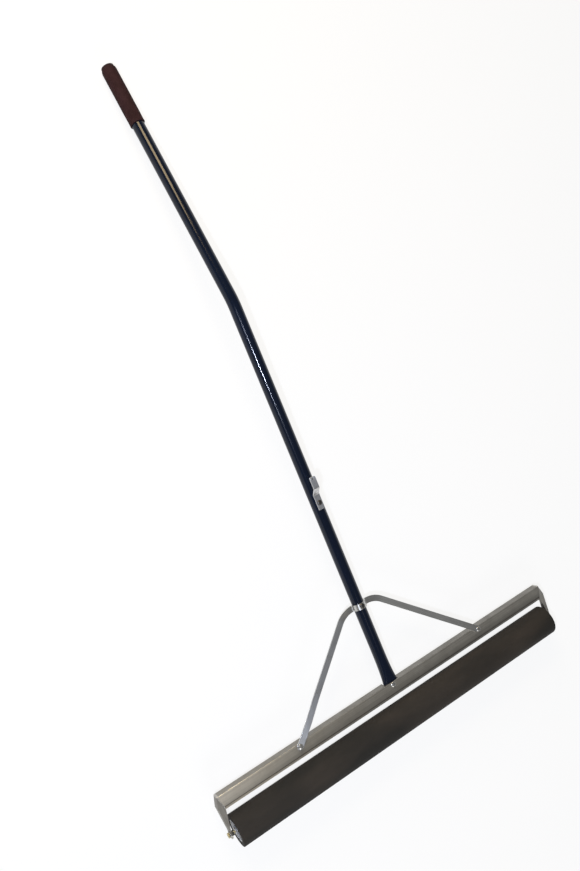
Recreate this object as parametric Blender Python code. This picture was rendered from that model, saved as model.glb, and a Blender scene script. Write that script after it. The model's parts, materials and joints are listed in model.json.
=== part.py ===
"""Roller squeegee: a foam roller in a metal frame, on a bent tube handle with a bow brace.

Every piece is drawn in the tool's own axes: +X along the roller, +Y up the lower handle and
+Z out of its front, with the origin on the roller's axle. An empty then lays the tool on the
floor, front side up, where it rests on the roller and on the rounded end of the grip.
"""
import math

import bmesh
import bpy
from mathutils import Matrix, Vector

MM = 0.001

# Fits between neighbouring pieces
TOUCH = 0.3 * MM           # between two faces that bear on each other
HOLE_PLAY = 0.35 * MM      # radial play of a bolt in its hole

# Roller
SLEEVE_LENGTH = 914.4 * MM
SLEEVE_RADIUS = 36.5 * MM
SLEEVE_CHAMFER = 1.5 * MM
CORE_RADIUS = 25.4 * MM
CORE_WALL = 2.4 * MM
PLUG_FACE = 4.5 * MM       # thickness of the plug's flange
PLUG_RECESS = 1.0 * MM     # how far the plug's face sits inside the sleeve's end
PLUG_RIM = 3.4 * MM
PLUG_WEB = 2.4 * MM
PLUG_DEPTH = 18.0 * MM     # how far the plug reaches into the core
PLUG_WALL = 2.6 * MM
HUB_RADIUS = 11.0 * MM
HUB_STEP = 1.5 * MM        # how far the hub stands out past the plug's face
BUSH_RADIUS = 6.4 * MM
BUSH_FLANGE_RADIUS = 9.0 * MM
BUSH_FLANGE = 1.2 * MM

# Frame, bent and mitred from one size of angle
FRAME_DEPTH = 20.6 * MM
FRAME_HEIGHT = 31.75 * MM
FRAME_WALL = 2.5 * MM
FRAME_CORNER = 1.0 * MM    # chamfer along the outer corner of the angle
FRAME_TOP = 90.5 * MM      # top of the rail above the axle
TOE_HEIGHT = 5.0 * MM      # lip along the lower edge of the rail
TOE_FLARE = 1.5 * MM
ARM_GAP = 10.4 * MM        # from the sleeve's end to the inner face of an arm at the axle
ARM_BULGE = 3.5 * MM       # how far the arm's shoulder stands out past its foot
ARM_CORNER_IN = 3.9 * MM   # how far the rail's corner lies inside the arm's foot
ARM_SHOULDER = 24.0 * MM   # from the rail's top down to the shoulder
LIP_WIDTH = 7.7 * MM       # front lip of an arm, where it meets the rail
LIP_FOOT = 10.0 * MM       # height above the axle where the lip runs out and the arm bends
MITRE_GAP = 0.3 * MM

# Handle tube
TUBE_RADIUS = 14.3 * MM
TUBE_WALL = 1.5 * MM
BEND_FROM_AXLE = 1019.0 * MM
BEND_ANGLE = math.radians(14.1)
BEND_RADIUS = 130.0 * MM
UPPER_LENGTH = 603.5 * MM  # from the bend's corner to the end of the grip
TUBE_IN_RAIL = 27.0 * MM   # how far the tube's flattened end reaches below the rail's top
FLAT_LENGTH = 28.5 * MM    # fully flattened stretch
FLAT_RUNOUT = 98.0 * MM    # from there up to the round tube
FLAT_FADE = 3.5            # power of the curve by which the flatness fades along the runout

# Grip
GRIP_LENGTH = 154.0 * MM
GRIP_WALL = 2.7 * MM
GRIP_CAP = 5.0 * MM        # thickness of the closed end, inside the dome
GRIP_EDGE = 1.0 * MM

# Flat bar that the brace and the hanger hook are bent from
BAR_WIDTH = 14.3 * MM
BAR_THICKNESS = 3.2 * MM

# Bow brace
BRACE_FROM_AXLE = 286.1 * MM
BRACE_FOOT_FILLET = 4.0 * MM
BRACE_SWEEP_RADIUS = 56.0 * MM
BRACE_BOLT_OFFSET = 260.0 * MM
BRACE_FLAT_RUN = 52.0 * MM # the part of each leg that lies in the rail's plane
BRACE_DIP_RUN = 105.0 * MM # from the bolt to where the leg has dipped towards the tube
BRACE_DIP = 5.3 * MM

# Hanger hook
HOOK_FOOT = 526.0 * MM     # lower end of the hook above the axle
HOOK_FOOT_LENGTH = 36.0 * MM
HOOK_RISE_RUN = 14.5 * MM
HOOK_TIP_LENGTH = 28.0 * MM
HOOK_STANDOFF = 15.6 * MM
HOOK_SCREW_UP = 15.8 * MM
HOOK_EYE_RADIUS = 2.0 * MM
HOOK_EYE_INSET = 5.0 * MM

# Fasteners: shank radius, width across flats and thickness
AXLE_BOLT_RADIUS = 3.17 * MM
AXLE_HEX = 11.1 * MM
AXLE_HEAD = 4.0 * MM
AXLE_NUT = 5.0 * MM
AXLE_WASHER_RADIUS = 8.0 * MM
WASHER = 1.4 * MM
HANDLE_BOLT_RADIUS = 3.17 * MM
HANDLE_HEAD_RADIUS = 6.6 * MM
HANDLE_HEAD = 3.2 * MM
HANDLE_HEX = 11.1 * MM
HANDLE_NUT = 5.4 * MM
SCREW_RADIUS = 2.5 * MM
SCREW_HEAD_RADIUS = 6.2 * MM
SCREW_HEAD = 2.8 * MM
SCREW_HEX = 8.0 * MM
SCREW_NUT = 4.0 * MM
HOOK_SCREW_HEAD_RADIUS = 6.0 * MM
BOLT_TAIL = 2.2 * MM       # thread that shows past a nut
HOOK_SCREW_LENGTH = 13.0 * MM

# Facets round a full turn
ROLLER_SIDES = 48
TUBE_SIDES = 24
GRIP_SIDES = 32
PLUG_SIDES = 32
BOLT_SIDES = 24
HEAD_SIDES = 16

# Sizes that follow from the ones above
SLEEVE_BORE = CORE_RADIUS + TOUCH
CORE_LENGTH = SLEEVE_LENGTH - 2 * (PLUG_RECESS + PLUG_FACE + TOUCH)
CORE_BORE = CORE_RADIUS - CORE_WALL
HUB_BORE = BUSH_RADIUS + TOUCH
BUSH_BORE = AXLE_BOLT_RADIUS + HOLE_PLAY
PLUG_OUTER_FACE = SLEEVE_LENGTH / 2 - PLUG_RECESS
HUB_FACE = PLUG_OUTER_FACE + HUB_STEP
FRONT = FRAME_DEPTH / 2
ARM_INNER_FOOT = SLEEVE_LENGTH / 2 + ARM_GAP
ARM_FOOT = ARM_INNER_FOOT + FRAME_WALL
ARM_SHOULDER_OUT = ARM_FOOT + ARM_BULGE
RAIL_HALF = ARM_FOOT - ARM_CORNER_IN
RAIL_BOTTOM = FRAME_TOP - FRAME_HEIGHT
RAIL_BOLT_Y = FRAME_TOP - FRAME_WALL - TOUCH - SCREW_HEX / 2
LIP_TOP_IN = RAIL_HALF - LIP_WIDTH
FLAT_HALF_THICKNESS = FRONT - FRAME_WALL - TOUCH
FLAT_HALF_STRAIGHT = (math.pi * (TUBE_RADIUS - FLAT_HALF_THICKNESS)) / 2
TUBE_FOOT = FRAME_TOP - TUBE_IN_RAIL
GRIP_BORE = TUBE_RADIUS + TOUCH
GRIP_RADIUS = GRIP_BORE + GRIP_WALL
TUBE_TOP = UPPER_LENGTH - GRIP_CAP - TOUCH
SADDLE_RADIUS = TUBE_RADIUS + TOUCH + BAR_THICKNESS / 2
LEG_REST = FRONT + TOUCH + BAR_THICKNESS / 2
HOOK_SCREW_Y = HOOK_FOOT + HOOK_SCREW_UP
ARM_ROUND = FRAME_DEPTH / 2

MATERIALS = {
    # name: (base colour, roughness, metallic)
    "sponge_rubber": ((0.028, 0.026, 0.023, 1.0), 0.95, 0.0),
    "core_plastic": ((0.40, 0.40, 0.38, 1.0), 0.55, 0.0),
    "plug_plastic": ((0.45, 0.47, 0.48, 1.0), 0.45, 0.0),
    "bush_plastic": ((0.62, 0.60, 0.52, 1.0), 0.40, 0.0),
    "mill_aluminium": ((0.33, 0.32, 0.29, 1.0), 0.38, 1.0),
    "zinc_steel": ((0.55, 0.53, 0.48, 1.0), 0.30, 1.0),
    "navy_powder_coat": ((0.010, 0.016, 0.032, 1.0), 0.28, 0.0),
    "dipped_vinyl": ((0.032, 0.020, 0.018, 1.0), 0.55, 0.0),
}


def lay_angle():
    """Tilt that lets the roller and the round end of the grip touch one floor."""
    along = BEND_FROM_AXLE + (UPPER_LENGTH - GRIP_RADIUS) * math.cos(BEND_ANGLE)
    below = (UPPER_LENGTH - GRIP_RADIUS) * math.sin(BEND_ANGLE)
    reach = math.hypot(along, below)
    return math.asin((GRIP_RADIUS - SLEEVE_RADIUS) / reach) + math.atan2(below, along)


def axle_place():
    """World place of the axle: the tool's box is centred on the origin and stands on z = 0."""
    tilt = lay_angle()
    along = BEND_FROM_AXLE + (UPPER_LENGTH - GRIP_RADIUS) * math.cos(BEND_ANGLE)
    below = (UPPER_LENGTH - GRIP_RADIUS) * math.sin(BEND_ANGLE)
    grip_end = along * math.cos(tilt) + below * math.sin(tilt) + GRIP_RADIUS
    return Vector((0.0, (SLEEVE_RADIUS - grip_end) / 2, SLEEVE_RADIUS))


def material(name):
    if name not in bpy.data.materials:
        colour, roughness, metallic = MATERIALS[name]
        made = bpy.data.materials.new(name)
        made.use_nodes = True
        shader = made.node_tree.nodes["Principled BSDF"]
        shader.inputs["Base Color"].default_value = colour
        shader.inputs["Roughness"].default_value = roughness
        shader.inputs["Metallic"].default_value = metallic
    return bpy.data.materials[name]


def finish(name, shape, parent, finish_name, sharp=30.0):
    """Turn a bmesh into a named object with its faces pointing out."""
    bmesh.ops.remove_doubles(shape, verts=shape.verts, dist=0.00001)
    bmesh.ops.recalc_face_normals(shape, faces=shape.faces)
    mesh = bpy.data.meshes.new(name)
    shape.to_mesh(mesh)
    shape.free()
    mesh.shade_smooth()
    mesh.set_sharp_from_angle(angle=math.radians(sharp))
    made = bpy.data.objects.new(name, mesh)
    bpy.context.scene.collection.objects.link(made)
    made.parent = parent
    if finish_name:
        mesh.materials.append(material(finish_name))
    return made


def skin(shape, rings, joined=False):
    """Faces between rings of equally many points; caps the ends, or joins last to first."""
    loops = [[shape.verts.new(point) for point in ring] for ring in rings]
    pairs = list(zip(loops, loops[1:]))
    if joined:
        pairs.append((loops[-1], loops[0]))
    for low, high in pairs:
        for i in range(len(low)):
            j = (i + 1) % len(low)
            shape.faces.new((low[i], low[j], high[j], high[i]))
    if not joined:
        shape.faces.new(loops[0])
        shape.faces.new(loops[-1])


def turned(name, profile, sides, parent, finish_name, closed=True):
    """Spin a profile of (along, radius) points about the X axis."""
    shape = bmesh.new()
    verts = [shape.verts.new((along, 0.0, radius)) for along, radius in profile]
    edges = [shape.edges.new(pair) for pair in zip(verts, verts[1:])]
    if closed:
        edges.append(shape.edges.new((verts[-1], verts[0])))
    bmesh.ops.spin(shape, geom=verts + edges, cent=(0, 0, 0), axis=(1, 0, 0),
                   angle=math.tau, steps=sides, use_merge=True)
    return finish(name, shape, parent, finish_name)


def ring_part(name, inner, outer, thickness, sides, parent, finish_name):
    """A washer or a plain tube, from x = 0 to its thickness."""
    profile = [(0, inner), (thickness, inner), (thickness, outer), (0, outer)]
    return turned(name, profile, sides, parent, finish_name)


def round_ring(along, radius, sides):
    """Points of a circle about the X axis."""
    turn = math.tau / sides
    return [Vector((along, radius * math.cos(i * turn), radius * math.sin(i * turn)))
            for i in range(sides)]


def hex_ring(along, across, sides):
    """Points of a hexagon about the X axis, with corners on +Z and -Z."""
    ring = []
    for i in range(sides):
        angle = math.tau * i / sides
        from_flat = (angle + math.pi / 6) % (math.pi / 3) - math.pi / 6
        radius = across / 2 / math.cos(from_flat)
        ring.append(Vector((along, radius * math.cos(angle), radius * math.sin(angle))))
    return ring


def hex_bolt(name, radius, across, head, length, parent):
    """A hex bolt along -X: its head's underside is at x = 0 and the head is at +X."""
    ease = 0.12 * across
    rings = [
        round_ring(-length, radius * 0.75, BOLT_SIDES),
        round_ring(-length + radius * 0.4, radius, BOLT_SIDES),
        round_ring(0, radius, BOLT_SIDES),
        hex_ring(0, across, BOLT_SIDES),
        hex_ring(head - ease / 2, across, BOLT_SIDES),
        round_ring(head, across / 2 - ease / 2, BOLT_SIDES),
    ]
    shape = bmesh.new()
    skin(shape, rings)
    return finish(name, shape, parent, "zinc_steel")


def hex_nut(name, radius, across, thickness, parent):
    """A hex nut from x = 0 to its thickness."""
    rings = [
        round_ring(0, radius + HOLE_PLAY, BOLT_SIDES),
        hex_ring(0, across, BOLT_SIDES),
        hex_ring(thickness, across, BOLT_SIDES),
        round_ring(thickness, radius + HOLE_PLAY, BOLT_SIDES),
    ]
    shape = bmesh.new()
    skin(shape, rings, joined=True)
    return finish(name, shape, parent, "zinc_steel")


def domed_screw(name, radius, head_radius, head, length, parent):
    """A screw along -X with a low round head whose underside is at x = 0."""
    profile = [(-length, 0), (-length, radius * 0.75), (-length + radius * 0.4, radius)]
    profile += [(0, radius), (0, head_radius), (head * 0.2, head_radius)]
    steps = 3
    for i in range(1, steps + 1):
        angle = math.pi / 2 * i / (steps + 1)
        along = head * (0.2 + 0.8 * math.sin(angle))
        profile.append((along, head_radius * math.cos(angle)))
    profile.append((head, 0))
    return turned(name, profile, HEAD_SIDES, parent, "zinc_steel", closed=False)


def prism(shape, outline, low, high, axis):
    """Extrude a closed outline along one axis; its points are in the other two, in order."""
    def place(point, depth):
        values = list(point)
        values.insert(axis, depth)
        return Vector(values)
    face = shape.faces.new([shape.verts.new(place(point, low)) for point in outline])
    moved = bmesh.ops.extrude_face_region(shape, geom=[face])["geom"]
    verts = [item for item in moved if isinstance(item, bmesh.types.BMVert)]
    offset = Vector((0, 0, 0))
    offset[axis] = high - low
    bmesh.ops.translate(shape, verts=verts, vec=offset)


def slice_off(shape, point, normal):
    """Cut away what lies on the normal's side of a plane, and close the cut."""
    geom = shape.verts[:] + shape.edges[:] + shape.faces[:]
    cut = bmesh.ops.bisect_plane(shape, geom=geom, dist=1e-7, plane_co=point,
                                 plane_no=normal, clear_outer=True)["geom_cut"]
    rim = [item for item in cut if isinstance(item, bmesh.types.BMEdge)]
    bmesh.ops.holes_fill(shape, edges=rim)


def combine(target, tool, operation):
    """Join or cut the target with a tool object, which is only a guide."""
    tool.hide_render = True
    tool.display_type = "WIRE"
    step = target.modifiers.new(operation.lower(), "BOOLEAN")
    step.operation = operation
    step.solver = "EXACT"
    step.object = tool


def drill(target, name, place, direction, radius, length):
    """Cut a round hole through the target; the drill runs both ways from its place."""
    shape = bmesh.new()
    skin(shape, [round_ring(-length, radius, BOLT_SIDES), round_ring(length, radius, BOLT_SIDES)])
    tool = finish(name, shape, target.parent, None)
    tool.location = place
    tool.rotation_mode = "QUATERNION"
    tool.rotation_quaternion = Vector((1, 0, 0)).rotation_difference(Vector(direction))
    combine(target, tool, "DIFFERENCE")


def aim(made, place, direction):
    """Put a piece that was drawn along +X at a place, pointing the given way."""
    made.location = place
    made.rotation_mode = "QUATERNION"
    made.rotation_quaternion = Vector((1, 0, 0)).rotation_difference(Vector(direction))


def make_roller(spindle):
    """The foam sleeve on its core, with a plug and a bush in each end."""
    half = SLEEVE_LENGTH / 2
    ease = SLEEVE_CHAMFER
    turned("roller_sleeve", [
        (-half, SLEEVE_BORE), (half, SLEEVE_BORE), (half, SLEEVE_RADIUS - ease),
        (half - ease, SLEEVE_RADIUS), (ease - half, SLEEVE_RADIUS), (-half, SLEEVE_RADIUS - ease),
    ], ROLLER_SIDES, spindle, "sponge_rubber")
    core = ring_part("roller_core", CORE_BORE, CORE_RADIUS, CORE_LENGTH, ROLLER_SIDES, spindle,
                     "core_plastic")
    core.location.x = -CORE_LENGTH / 2
    for side, hand in (("left", -1), ("right", 1)):
        plug = make_plug(f"end_plug_{side}", spindle)
        bush = make_bush(f"axle_bush_{side}", spindle)
        for piece in (plug, bush):
            aim(piece, (0, 0, 0), (hand, 0, 0))


def make_plug(name, spindle):
    """Moulded plug: a rimmed face, a hub for the bush and a cup that fits the core."""
    face = PLUG_OUTER_FACE
    back = face - PLUG_FACE
    cup = CORE_BORE - TOUCH
    rim = CORE_RADIUS - PLUG_RIM
    floor = back + PLUG_WEB
    return turned(name, [
        (HUB_FACE, HUB_BORE), (HUB_FACE, HUB_RADIUS), (floor, HUB_RADIUS), (floor, rim),
        (face, rim), (face, CORE_RADIUS), (back, CORE_RADIUS), (back, cup),
        (back - PLUG_DEPTH, cup), (back - PLUG_DEPTH, cup - PLUG_WALL), (back, cup - PLUG_WALL),
        (back, HUB_RADIUS), (back - PLUG_DEPTH, HUB_RADIUS), (back - PLUG_DEPTH, HUB_BORE),
    ], PLUG_SIDES, spindle, "plug_plastic")


def make_bush(name, spindle):
    """Flanged bush that turns on the axle bolt."""
    inner_end = PLUG_OUTER_FACE - PLUG_FACE - PLUG_DEPTH
    seat = HUB_FACE + TOUCH
    outer_end = seat + BUSH_FLANGE
    return turned(name, [
        (inner_end, BUSH_BORE), (outer_end, BUSH_BORE), (outer_end, BUSH_FLANGE_RADIUS),
        (seat, BUSH_FLANGE_RADIUS), (seat, BUSH_RADIUS), (inner_end, BUSH_RADIUS),
    ], BOLT_SIDES, spindle, "bush_plastic")


def mitre_plane(hand):
    """Point and direction of the cut between the rail and an arm, seen from the front."""
    run = Vector((hand * LIP_WIDTH, FRAME_HEIGHT, 0))
    across = Vector((hand * FRAME_HEIGHT, -LIP_WIDTH, 0)).normalized()
    corner = Vector((hand * RAIL_HALF, FRAME_TOP, 0))
    return corner - run, across


def make_rail(tool):
    """Angle across the frame, notched for the tube, with a flared lower lip."""
    wall = FRAME_WALL
    toe = FRONT + TOE_FLARE
    outline = [
        (FRAME_TOP, -FRONT), (FRAME_TOP, FRONT - FRAME_CORNER), (FRAME_TOP - FRAME_CORNER, FRONT),
        (RAIL_BOTTOM + TOE_HEIGHT, FRONT), (RAIL_BOTTOM, toe), (RAIL_BOTTOM, toe - wall),
        (RAIL_BOTTOM + TOE_HEIGHT, FRONT - wall), (FRAME_TOP - wall, FRONT - wall),
        (FRAME_TOP - wall, -FRONT),
    ]
    shape = bmesh.new()
    prism(shape, outline, -RAIL_HALF - LIP_WIDTH, RAIL_HALF + LIP_WIDTH, 0)
    for hand in (-1, 1):
        point, across = mitre_plane(hand)
        slice_off(shape, point - across * MITRE_GAP / 2, across)
    rail = finish("frame_rail", shape, tool, "mill_aluminium")

    notch_half = FLAT_HALF_STRAIGHT + FLAT_HALF_THICKNESS + TOUCH
    notch = bmesh.new()
    prism(notch, [(FRAME_TOP - 2 * wall, -2 * FRONT), (FRAME_TOP + wall, -2 * FRONT),
                  (FRAME_TOP + wall, FRONT - wall), (FRAME_TOP - 2 * wall, FRONT - wall)],
          -notch_half, notch_half, 0)
    combine(rail, finish("notch_guide", notch, tool, None), "DIFFERENCE")
    drill(rail, "handle_hole_guide", (0, RAIL_BOLT_Y, FRONT), (0, 0, 1),
          HANDLE_BOLT_RADIUS + HOLE_PLAY, 2 * wall)
    for side, hand in (("left", -1), ("right", 1)):
        place = (hand * BRACE_BOLT_OFFSET, RAIL_BOLT_Y, FRONT)
        drill(rail, f"brace_hole_guide_{side}", place, (0, 0, 1), SCREW_RADIUS + HOLE_PLAY, 2 * wall)


def arm_reach(height):
    """Distance of an arm's outer face from the middle, at a height above the axle."""
    shoulder = FRAME_TOP - ARM_SHOULDER
    if height > shoulder:
        share = (height - shoulder) / ARM_SHOULDER
        return ARM_SHOULDER_OUT + (RAIL_HALF - ARM_SHOULDER_OUT) * share
    share = max(height - LIP_FOOT, 0) / (shoulder - LIP_FOOT)
    return ARM_FOOT + ARM_BULGE * share


def arm_ring(height, hand):
    """Section of an arm at a height: the side plate and, above its foot, the front lip."""
    outer = arm_reach(height)
    inner = outer - FRAME_WALL
    half = FRONT if height > 0 else math.sqrt(ARM_ROUND ** 2 - height ** 2)
    lip = inner
    step = half
    if height >= LIP_FOOT:
        share = (height - LIP_FOOT) / (RAIL_BOTTOM - LIP_FOOT)
        lip = ARM_INNER_FOOT + (LIP_TOP_IN - ARM_INNER_FOOT) * share
        step = FRONT - FRAME_WALL
    section = [(outer, -half), (outer, half), (lip, half), (lip, step), (inner, step),
               (inner, -half)]
    return [Vector((hand * across, height, depth)) for across, depth in section]


def make_arm(side, hand, tool):
    """End arm: a side plate with a full round foot at the axle, and a tapered front lip."""
    steps = 8
    heights = [-ARM_ROUND * math.cos(math.pi / 2 * i / steps) for i in range(steps + 1)]
    heights[-1] = 0.0
    heights += [LIP_FOOT, RAIL_BOTTOM, FRAME_TOP - ARM_SHOULDER, FRAME_TOP]
    shape = bmesh.new()
    skin(shape, [arm_ring(height, hand) for height in heights])
    bmesh.ops.remove_doubles(shape, verts=shape.verts, dist=0.00001)
    point, across = mitre_plane(hand)
    slice_off(shape, point + across * MITRE_GAP / 2, -across)
    arm = finish(f"end_arm_{side}", shape, tool, "mill_aluminium")
    drill(arm, f"axle_hole_guide_{side}", (hand * ARM_FOOT, 0, 0), (1, 0, 0),
          AXLE_BOLT_RADIUS + HOLE_PLAY, 3 * FRAME_WALL)


def make_axle(side, hand, tool):
    """Bolt through an arm, clamped by a nut; its shank carries the roller's bush."""
    out = (hand, 0, 0)
    washer = ring_part(f"axle_washer_{side}", AXLE_BOLT_RADIUS + HOLE_PLAY, AXLE_WASHER_RADIUS,
                       WASHER, BOLT_SIDES, tool, "zinc_steel")
    aim(washer, (hand * (ARM_FOOT + TOUCH), 0, 0), out)
    head_seat = ARM_FOOT + WASHER + 2 * TOUCH
    shank_end = PLUG_OUTER_FACE - PLUG_FACE - PLUG_DEPTH / 2
    bolt = hex_bolt(f"axle_bolt_{side}", AXLE_BOLT_RADIUS, AXLE_HEX, AXLE_HEAD,
                    head_seat - shank_end, tool)
    aim(bolt, (hand * head_seat, 0, 0), out)
    nut = hex_nut(f"axle_nut_{side}", AXLE_BOLT_RADIUS, AXLE_HEX, AXLE_NUT, tool)
    aim(nut, (hand * (ARM_INNER_FOOT - TOUCH - AXLE_NUT), 0, 0), out)


def tube_section(flatness):
    """Cross-section of the tube: round at 0, pressed to a flat-sided oval at 1."""
    straight = FLAT_HALF_STRAIGHT * flatness
    radius = TUBE_RADIUS + (FLAT_HALF_THICKNESS - TUBE_RADIUS) * flatness
    return straight, radius


def tube_ring(place, pitch, flatness, inward):
    """One ring of the tube, square to a centreline that is pitched down from +Y."""
    straight, radius = tube_section(flatness)
    radius -= inward
    ring = []
    for i in range(TUBE_SIDES):
        angle = math.tau * (i + 0.5) / TUBE_SIDES
        across = radius * math.cos(angle) + math.copysign(straight, math.cos(angle))
        ring.append(Vector((across, 0, radius * math.sin(angle))))
    turn = Matrix.Rotation(-pitch, 3, "X")
    return [Vector(place) + turn @ point for point in ring]


def tube_stations():
    """Centreline places, pitch and flatness from the flattened foot up to the top end."""
    stations = [((0, TUBE_FOOT, 0), 0.0, 1.0), ((0, TUBE_FOOT + FLAT_LENGTH, 0), 0.0, 1.0)]
    steps = 7
    for i in range(1, steps + 1):
        share = (i / steps) ** 1.4
        easing = (1 - share) ** FLAT_FADE
        height = TUBE_FOOT + FLAT_LENGTH + FLAT_RUNOUT * share
        stations.append(((0, height, 0), 0.0, easing))
    tangent = BEND_RADIUS * math.tan(BEND_ANGLE / 2)
    bend_steps = 5
    for i in range(bend_steps + 1):
        pitch = BEND_ANGLE * i / bend_steps
        height = BEND_FROM_AXLE - tangent + BEND_RADIUS * math.sin(pitch)
        drop = BEND_RADIUS * (1 - math.cos(pitch))
        stations.append(((0, height, -drop), pitch, 0.0))
    stations.append((upper_place(TUBE_TOP), BEND_ANGLE, 0.0))
    return stations


def upper_place(distance):
    """Point on the upper handle's centreline, measured from the bend's corner."""
    return Vector((0, BEND_FROM_AXLE + distance * math.cos(BEND_ANGLE),
                   -distance * math.sin(BEND_ANGLE)))


def make_handle(tool):
    """Bent steel tube, open at its flattened foot, with holes for its three fasteners."""
    outer = [tube_ring(place, pitch, flat, 0.0) for place, pitch, flat in tube_stations()]
    inner = [tube_ring(place, pitch, flat, TUBE_WALL) for place, pitch, flat in tube_stations()]
    shape = bmesh.new()
    skin(shape, outer + inner[::-1], joined=True)
    handle = finish("handle_tube", shape, tool, "navy_powder_coat")
    through = 2 * TUBE_RADIUS
    drill(handle, "rail_bolt_guide", (0, RAIL_BOLT_Y, 0), (0, 0, 1),
          HANDLE_BOLT_RADIUS + HOLE_PLAY, through)
    drill(handle, "collar_bolt_guide", (0, BRACE_FROM_AXLE, 0), (0, 0, 1),
          SCREW_RADIUS + HOLE_PLAY, through)
    drill(handle, "hook_screw_guide", (0, HOOK_SCREW_Y, TUBE_RADIUS), (0, 0, 1),
          SCREW_RADIUS + HOLE_PLAY, TUBE_RADIUS / 2)


def make_grip(tool):
    """Dipped vinyl grip with a hemispherical end, closed over the tube."""
    dome = GRIP_RADIUS
    edge = GRIP_EDGE
    profile = [(GRIP_LENGTH - GRIP_CAP, 0), (GRIP_LENGTH - GRIP_CAP, GRIP_BORE), (0, GRIP_BORE),
               (0, GRIP_RADIUS - edge), (edge, GRIP_RADIUS), (GRIP_LENGTH - dome, GRIP_RADIUS)]
    steps = 7
    for i in range(1, steps):
        angle = math.pi / 2 * i / steps
        profile.append((GRIP_LENGTH - dome + dome * math.sin(angle), dome * math.cos(angle)))
    profile.append((GRIP_LENGTH, 0))
    grip = turned("grip", profile, GRIP_SIDES, tool, "dipped_vinyl", closed=False)
    direction = upper_place(1.0) - upper_place(0.0)
    aim(grip, upper_place(UPPER_LENGTH - GRIP_LENGTH), direction)


def brace_sweep():
    """Sweep of a leg: where its curve is centred and the angle that it turns through."""
    foot = math.sqrt((SADDLE_RADIUS + BRACE_FOOT_FILLET) ** 2 - BRACE_FOOT_FILLET ** 2)
    centre = Vector((foot, BRACE_FROM_AXLE - BRACE_SWEEP_RADIUS))
    to_bolt = Vector((BRACE_BOLT_OFFSET, RAIL_BOLT_Y)) - centre
    turn = math.asin(BRACE_SWEEP_RADIUS / to_bolt.length) - math.atan2(to_bolt.y, to_bolt.x)
    return centre, turn


def bar_ring(place, width_way, thick_way, half_width):
    """Four corners of the flat bar's section."""
    wide = Vector(width_way).normalized() * half_width
    thick = Vector(thick_way).normalized() * BAR_THICKNESS / 2
    place = Vector(place)
    return [place + wide + thick, place + wide - thick, place - wide - thick, place - wide + thick]


def brace_half():
    """Sections of the right half, from the top of the saddle out to the leg's round end."""
    rings = []
    half = BAR_WIDTH / 2
    fillet = BRACE_FOOT_FILLET
    low = math.asin(fillet / (SADDLE_RADIUS + fillet))
    steps = 7
    for i in range(steps + 1):
        angle = math.pi / 2 + (low - math.pi / 2) * i / steps
        way = Vector((math.cos(angle), 0, math.sin(angle)))
        place = way * SADDLE_RADIUS + Vector((0, BRACE_FROM_AXLE, 0))
        rings.append(bar_ring(place, (0, 1, 0), way, half))
    centre, turn = brace_sweep()
    hub = Vector((centre.x, BRACE_FROM_AXLE, fillet))
    for i in range(1, 4):
        angle = math.pi + low + (math.pi / 2 - low) * i / 3
        way = Vector((math.cos(angle), 0, math.sin(angle)))
        rings.append(bar_ring(hub + way * fillet, (0, 1, 0), -way, half))
    sweep_steps = 6
    for i in range(1, sweep_steps + 1):
        angle = turn * i / sweep_steps
        way = Vector((math.sin(angle), math.cos(angle), 0))
        place = Vector((centre.x, centre.y, 0)) + way * BRACE_SWEEP_RADIUS
        rings.append(bar_ring(place, way, (0, 0, 1), half))
    along = Vector((math.cos(turn), -math.sin(turn), 0))
    across = Vector((math.sin(turn), math.cos(turn), 0))
    bolt = Vector((BRACE_BOLT_OFFSET, RAIL_BOLT_Y, LEG_REST))
    dip = Vector((0, 0, BRACE_DIP))
    rings.append(bar_ring(bolt - along * BRACE_DIP_RUN - dip, across, (0, 0, 1), half))
    rings.append(bar_ring(bolt - along * BRACE_FLAT_RUN, across, (0, 0, 1), half))
    end_steps = 6
    for i in range(end_steps):
        angle = math.pi / 2 * i / end_steps
        rings.append(bar_ring(bolt + along * half * math.sin(angle), across, (0, 0, 1),
                              half * math.cos(angle)))
    return rings


def make_brace(tool):
    """Flat bar bowed over the front of the tube, with both ends bolted to the rail."""
    right = brace_half()
    left = [[Vector((-point.x, point.y, point.z)) for point in ring] for ring in right[:0:-1]]
    shape = bmesh.new()
    skin(shape, left + right)
    brace = finish("bow_brace", shape, tool, "mill_aluminium")
    play = SCREW_RADIUS + HOLE_PLAY
    drill(brace, "saddle_hole_guide", (0, BRACE_FROM_AXLE, SADDLE_RADIUS), (0, 0, 1), play,
          2 * BAR_THICKNESS)
    for side, hand in (("left", -1), ("right", 1)):
        place = (hand * BRACE_BOLT_OFFSET, RAIL_BOLT_Y, LEG_REST)
        drill(brace, f"leg_hole_guide_{side}", place, (0, 0, 1), play, 2 * BAR_THICKNESS)


def clamp(name, place, grip_length, radius, head_radius, head, across, nut_height, tool,
          washer=WASHER):
    """A domed bolt from the front, and a nut behind what it clamps, on a washer if given."""
    head_seat = Vector(place) + Vector((0, 0, TOUCH))
    back = Vector(place) - Vector((0, 0, grip_length + TOUCH))
    if washer:
        ring = ring_part(f"{name}_washer", radius + HOLE_PLAY, across * 0.62, washer, BOLT_SIDES,
                         tool, "zinc_steel")
        aim(ring, back, (0, 0, -1))
        back -= Vector((0, 0, washer + TOUCH))
    nut = hex_nut(f"{name}_nut", radius, across, nut_height, tool)
    aim(nut, back, (0, 0, -1))
    length = head_seat.z - back.z + nut_height + BOLT_TAIL
    aim(domed_screw(f"{name}_bolt", radius, head_radius, head, length, tool), head_seat, (0, 0, 1))


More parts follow.
